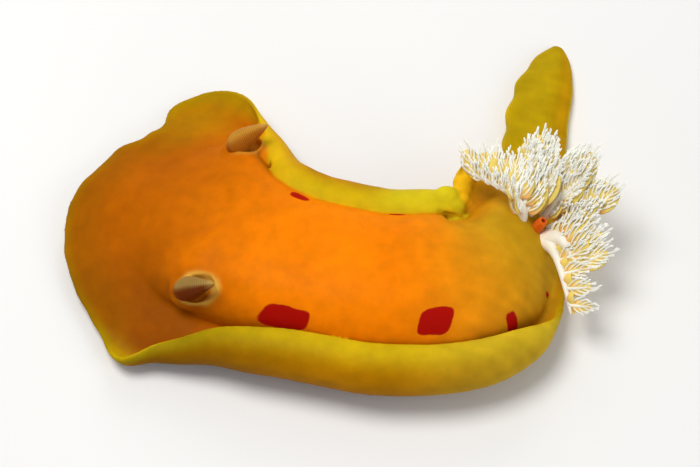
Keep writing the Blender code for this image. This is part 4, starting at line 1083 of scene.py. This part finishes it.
def curve_points(start, direction, end_direction, length, count):
    """Points of a curve that leaves along one direction and ends along another."""
    middle = start + direction * length * 0.5
    return quadratic(start, middle, middle + end_direction * length * 0.5, count)


def fan_direction(point):
    """Direction in which the gills sweep: away from the fan's centre, rising low down and level high up."""
    away = unit(point[:2] - FAN_CENTRE)
    lift = np.clip(FAN_LIFT - (point[2] - FAN_LEVEL) * FAN_DROOP, FAN_LOWEST, FAN_LIFT)
    return unit(np.array([away[0], away[1], lift]))


def stem_curve(number, tree):
    turned, rise = STALK_ROOTS.get(number, (0, 1.0))
    angle = math.radians(GILL_FIRST + GILL_TURN * number + turned)
    radial = np.array([math.cos(angle), math.sin(angle), 0.0])
    root = GILL_CENTRE + radial * GILL_CIRCLE
    root[2], normal = surface_below(tree, root)
    axis = unit(normal + radial * 0.25 + UP * 0.6)
    start, tip = root - axis * STEM_SINK, np.array(GILL_FORMS[number][0]) * MM
    run = unit(tip - root)
    return start, start + axis * STEM_RISE * rise, tip - run * STEM_RISE + UP * STEM_ARCH, tip


def stem_place(curve, share):
    """Point on a stem, the stem's direction there and the direction in which its fronds sweep."""
    base = cubic(curve, share)
    return base, unit(cubic(curve, min(share + 0.01, 1)) - cubic(curve, share - 0.01)), fan_direction(base)


def grow_gill(number, tree):
    """Strokes of one gill by kind: its stem, its veil, and its fronds to one side and the other in turn.

    A stroke is a path, its radii and, for thin sheets, the directions across it.
    """
    draw = np.random.default_rng(GILL_SEED + number)
    curve = stem_curve(number, tree)
    _, stem_radii, first, frond_count, frond_length, veil_width = GILL_FORMS[number]
    strokes = defaultdict(list)
    shares = np.linspace(0, 1, 34)
    radii = np.interp(shares, [0, STEM_MIDDLE, 1], stem_radii) * MM
    strokes["stem"].append((cubic(curve, shares), radii, None))
    grow_veil(strokes, curve, first, veil_width * MM, tree)
    view = unit(FROND_VIEW)
    for i in range(frond_count):
        share = first + (1 - first) * i / (frond_count - 1)
        base, tangent, sweep = stem_place(curve, share)
        across = unit(np.cross(tangent, UP))
        side = 1.0 if i % 2 else -1.0
        inner = across @ sweep * side < INNER_LIMIT
        if i == frond_count - 1:
            side = 0.0
        spread = side * (0.75 - 0.1 * share) * draw.uniform(*FROND_SPREADS)
        if inner and number in BARE_INSIDE:
            continue
        pull = 0.15 + 0.6 * share if inner else FROND_SWEEP
        direction = unit(tangent * FROND_ALONG + across * spread + sweep * pull + view * FROND_TO_VIEW)
        later = unit(direction * FROND_TURN + sweep)
        length = frond_length * MM * (1.05 - 0.25 * share) * draw.uniform(*FROND_LENGTHS)
        length = length * (INNER_LENGTH if inner else 1.0)
        for shorter in FROND_TRIALS:
            path = curve_points(base, direction, later, length * shorter, 13)
            if min(height_over(tree, path[6]), height_over(tree, path[12])) > FROND_CLEARANCE:
                break
        else:
            continue
        upright = view + across * draw.uniform(*FROND_TILTS)
        normal = unit(upright - direction * (upright @ direction))
        grow_frond(strokes, path, length * shorter, normal, draw, tree)
    return strokes


def grow_veil(strokes, curve, first, width, tree):
    """Ruffled thin sheet along a stem, on the side to which its fronds sweep."""
    shares = np.linspace(max(first - 0.05, 0.05), 1.0, 72)
    path, ways, halves = [], [], []
    for share in shares:
        base, tangent, sweep = stem_place(curve, share)
        way = unit(sweep - tangent * (sweep @ tangent) * 0.6)
        half = width / 2 * math.sin(math.pi * (0.12 + 0.8 * (share - shares[0]) / (1 - shares[0]))) ** 0.6
        while half > 1 * MM and height_over(tree, base + way * 2 * half) < VEIL_CLEARANCE:
            half *= 0.8
        normal = unit(np.cross(tangent, way))
        ruffle = math.sin(2 * math.pi * share * np.linalg.norm(curve[3] - curve[0]) / RUFFLE_LENGTH)
        path.append(base + way * half + normal * ruffle * RUFFLE_HEIGHT)
        ways.append(way)
        halves.append(half)
    strokes["veil"].append((path, halves, ways))


def grow_frond(strokes, path, length, normal, draw, tree):
    """One frond: a thin web like a leaf, ribbed on either side by filaments that pass its edge and fork."""
    steps = np.linspace(0, 1, len(path))
    strokes["branch"].append((path, np.linspace(*FROND_RADII, len(path)), None))
    tangents = unit(np.gradient(path, axis=0))
    ways = unit(np.cross(tangents, normal))
    filament_radii = np.linspace(FILAMENT_RADIUS, FILAMENT_TIP, FILAMENT_POINTS)
    size = min(1, length / FULL_FROND)
    count = max(3, round(length / FILAMENT_STEP))
    grown = 0
    for row in (-1.0, 1.0):
        for j in range(count):
            place = (j + 0.5 + 0.25 * row) / count
            spot = place * (len(path) - 1)
            k = min(int(spot), len(path) - 2)
            fork = path[k] + (path[k + 1] - path[k]) * (spot - k)
            sweep = fan_direction(fork)
            level = sweep - normal * (sweep @ normal)
            ahead = unit(tangents[k] * 0.6 + level * 0.8 + normal * draw.uniform(*FILAMENT_RISES))
            spread = ((1 - place) * FILAMENT_SPREAD + FILAMENT_ROOM) * size * draw.uniform(*FILAMENT_ASIDES)
            aside = ways[k] * row * spread
            reach = FILAMENT_LENGTH * (1.05 - 0.15 * place) * draw.uniform(*FILAMENT_LENGTHS) * size
            bend, end = fork + ahead * reach * 0.3 + aside, fork + ahead * reach + aside * 1.2
            if height_over(tree, end) < FILAMENT_CLEARANCE:
                continue
            filament = quadratic(fork, bend, end, FILAMENT_POINTS)
            strokes["filament"].append((filament, filament_radii, None))
            grow_forks(strokes, filament, unit(end - bend), ways[k], normal, draw)
            grown += 1
    if size > 0.6 and grown > count:
        width = np.sin(np.pi * np.clip(0.16 + 0.76 * steps, 0, 1)) ** 0.6 * WEB_WIDTH * size ** 2
        strokes["web"].append((path + (tangents * 1.5 - normal * 0.2) * MM, width, ways))


def grow_forks(strokes, filament, course, across, normal, draw):
    """Blunt forks near the end of a filament."""
    first = draw.choice([-1.0, 1.0])
    places = zip(FORK_PAIR, (first, -first)) if draw.random() < 0.5 else [(LONE_FORK, first)]
    for at, sign in places:
        turn = across * sign * draw.uniform(*FORK_TURNS) + normal * draw.uniform(*FORK_RISES)
        length = FORK_LENGTH * draw.uniform(*FORK_LENGTHS)
        fork = curve_points(filament[at], unit(course + turn), unit(course + turn * 0.2), length, FORK_POINTS)
        strokes["fork"].append((fork, np.linspace(1, FORK_TAPER, FORK_POINTS) * FILAMENT_TIP, None))


def build_gills(tree):
    made = []
    for number in range(len(GILL_FORMS)):
        verts, faces, colours, start = [], [], [], 0
        for kind, strokes in grow_gill(number, tree).items():
            paths, radii, ways = zip(*strokes)
            sides, root, tip, low, high = STROKES[kind]
            t = np.repeat(np.linspace(0, 1, len(paths[0])), sides)
            if kind == "veil":
                t = np.tile(0.5 + 0.5 * np.cos(full_turn(sides)), len(paths[0]))
            if kind not in ("veil", "web"):
                ways, t = None, np.concatenate([t, [1, 0]])
            points, shapes = stroke_batch(paths, radii, ways, sides)
            verts.append(points)
            colours.append(mixed(root, tip, smoothstep(low, high, np.tile(t, len(paths)))))
            faces += [[i + start for i in face] for face in shapes]
            start += len(points)
        item = mesh_object(f"gill_plume_{number + 1}", np.concatenate(verts), faces)
        store_colour(item, np.concatenate(colours))
        made.append(item)
    return made


PAPILLA_OUTSIDE, PAPILLA_INSIDE = rgb(0.80, 0.15, 0.01), rgb(0.35, 0.03, 0.005)


def build_papilla(tree):
    seat = GILL_CENTRE.copy()
    seat[2], normal = surface_below(tree, seat)
    axis = unit(normal + UP)
    across = unit(np.cross(axis, [0.0, 1.0, 0.0]))
    other = np.cross(axis, across)
    turn = full_turn(64)
    spokes = np.cos(turn)[:, None] * across + np.sin(turn)[:, None] * other
    rings = []
    for rise, radius in PAPILLA_PROFILE:
        fold = 1 + PAPILLA_FOLD_DEPTH * np.cos(PAPILLA_FOLDS * turn) * smoothstep(*PAPILLA_FOLDED, rise)
        rings.append(seat + axis * rise * MM + spokes * (radius * fold)[:, None] * MM)
    item = loft_object("anal_papilla_skin", rings)
    inner = np.repeat(smoothstep(6.5, 9, np.arange(len(rings))), len(turn))
    store_colour(item, mixed(PAPILLA_OUTSIDE, PAPILLA_INSIDE, inner))
    add_modifier(item, "SUBSURF", levels=1, render_levels=1)
    applied(item)
    return item


# Stage

FLOOR_HALF, FLOOR_DROP, STAGE_MIDDLE = 3.0, 0.02 * MM, (0.0, 0.02, 0.02)
PAPER_WHITE, PAPER_ROUGHNESS = (0.90, 0.90, 0.89, 1), 0.85
SKY_WHITE, SKY_STRENGTH = (0.93, 0.95, 1.0, 1), 0.34
# Lights: name, place and diameter in metres, power in watts and colour
LIGHTS = [
    ("key", (-0.3, 0.1, 1.0), 0.55, 7.2, (1.0, 0.97, 0.93)),
    ("fill", (0.85, -0.5, 0.55), 0.8, 2.6, (0.97, 0.98, 1.0)),
    ("back", (0.1, 1.0, 0.6), 0.7, 2.4, (1.0, 0.98, 0.95)),
]
# Camera: the point it looks at, its elevation in degrees and its distance, and the width that it sees there
CAMERA_TARGET, CAMERA_ELEVATION, CAMERA_DISTANCE, CAMERA_VIEW = (0.0, 30.0 * MM, 0.0), 60, 750 * MM, 280 * MM
SENSOR_WIDTH = 36


def linked(name, data):
    item = bpy.data.objects.new(name, data)
    bpy.context.scene.collection.objects.link(item)
    return item


def build_lights():
    for name, place, size, power, colour in LIGHTS:
        data = bpy.data.lights.new(name, "AREA")
        data.shape = "DISK"
        data.size = size
        data.energy = power
        data.color = colour
        item = linked(name, data)
        item.location = place
        item.rotation_euler = (Vector(STAGE_MIDDLE) - Vector(place)).to_track_quat("-Z", "Y").to_euler()


def build_stage():
    corners = [(-1, -1), (1, -1), (1, 1), (-1, 1)]
    floor = mesh_object("floor", [(x * FLOOR_HALF, y * FLOOR_HALF, 0) for x, y in corners], [[0, 1, 2, 3]])
    floor.location.z = -FLOOR_DROP
    made, tree, shader = new_material("floor_paper")
    tone = ramp(tree, noise(tree, PAPER_SIZE, 2.0), 0.97, 1.03)
    paper = colour_mix(tree, "MULTIPLY", 1.0, PAPER_WHITE, tone)
    fill(tree, shader, {"Base Color": paper, "Roughness": PAPER_ROUGHNESS})
    floor.data.materials.append(made)
    world = bpy.data.worlds.new("studio")
    bpy.context.scene.world = world
    world.use_nodes = True
    background = world.node_tree.nodes["Background"]
    fill(world.node_tree, background, {"Color": SKY_WHITE, "Strength": SKY_STRENGTH})
    build_lights()


def build_camera():
    data = bpy.data.cameras.new("camera")
    data.sensor_width = SENSOR_WIDTH
    data.lens = SENSOR_WIDTH * CAMERA_DISTANCE / CAMERA_VIEW
    item = linked("camera", data)
    elevation = math.radians(CAMERA_ELEVATION)
    away = Vector((0, -math.cos(elevation), math.sin(elevation)))
    item.location = Vector(CAMERA_TARGET) + away * CAMERA_DISTANCE
    item.rotation_euler = (math.pi / 2 - elevation, 0, 0)
    bpy.context.scene.camera = item
    bpy.context.scene.view_settings.view_transform = "Standard"


FLESH_NODES = [
    "head", "body_front", "body_rear", "mantle_margin_front", "mantle_margin_left_front",
    "mantle_margin_left_rear", "mantle_margin_rear", "mantle_margin_right_rear", "mantle_margin_right_front",
    "foot_front", "foot_rear", "tail", "snout", "oral_tentacle_left", "oral_tentacle_right",
]


def finish_surface(item, material):
    item.data.shade_smooth()
    item.data.materials.clear()
    item.data.materials.append(material)


def main():
    build_camera()
    build_stage()
    skin = fused_skin()
    shape_skin(skin)
    colour_skin(skin)
    finish_surface(skin, flesh_material("flesh_skin", (0.5, 0.62), 0.3, 0.07, shine=0.04, patches=True))
    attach(skin, "root")
    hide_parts(*FLESH_NODES)
    bm = bmesh.new()
    bm.from_mesh(skin.data)
    tree = BVHTree.FromBMesh(bm)
    bm.free()
    club_material = flesh_material("rhinophore_flesh", (0.25, 0.36), 0.2, 0.1)
    for item in build_rhinophores():
        finish_surface(item, club_material)
        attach(item, "root")
        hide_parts(item.name[:-len("_club")])
    gill_material = flesh_material("gill_flesh", (0.35, 0.5), 0.12, 0.05, depth=GILL_DEPTH)
    for number, item in enumerate(build_gills(tree)):
        finish_surface(item, gill_material)
        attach(item, "root")
        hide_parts(f"gill_{number + 1}")
    papilla = build_papilla(tree)
    finish_surface(papilla, flesh_material("papilla_flesh", (0.25, 0.4), 0.3, 0.1))
    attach(papilla, "root")
    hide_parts("anal_papilla")


main()
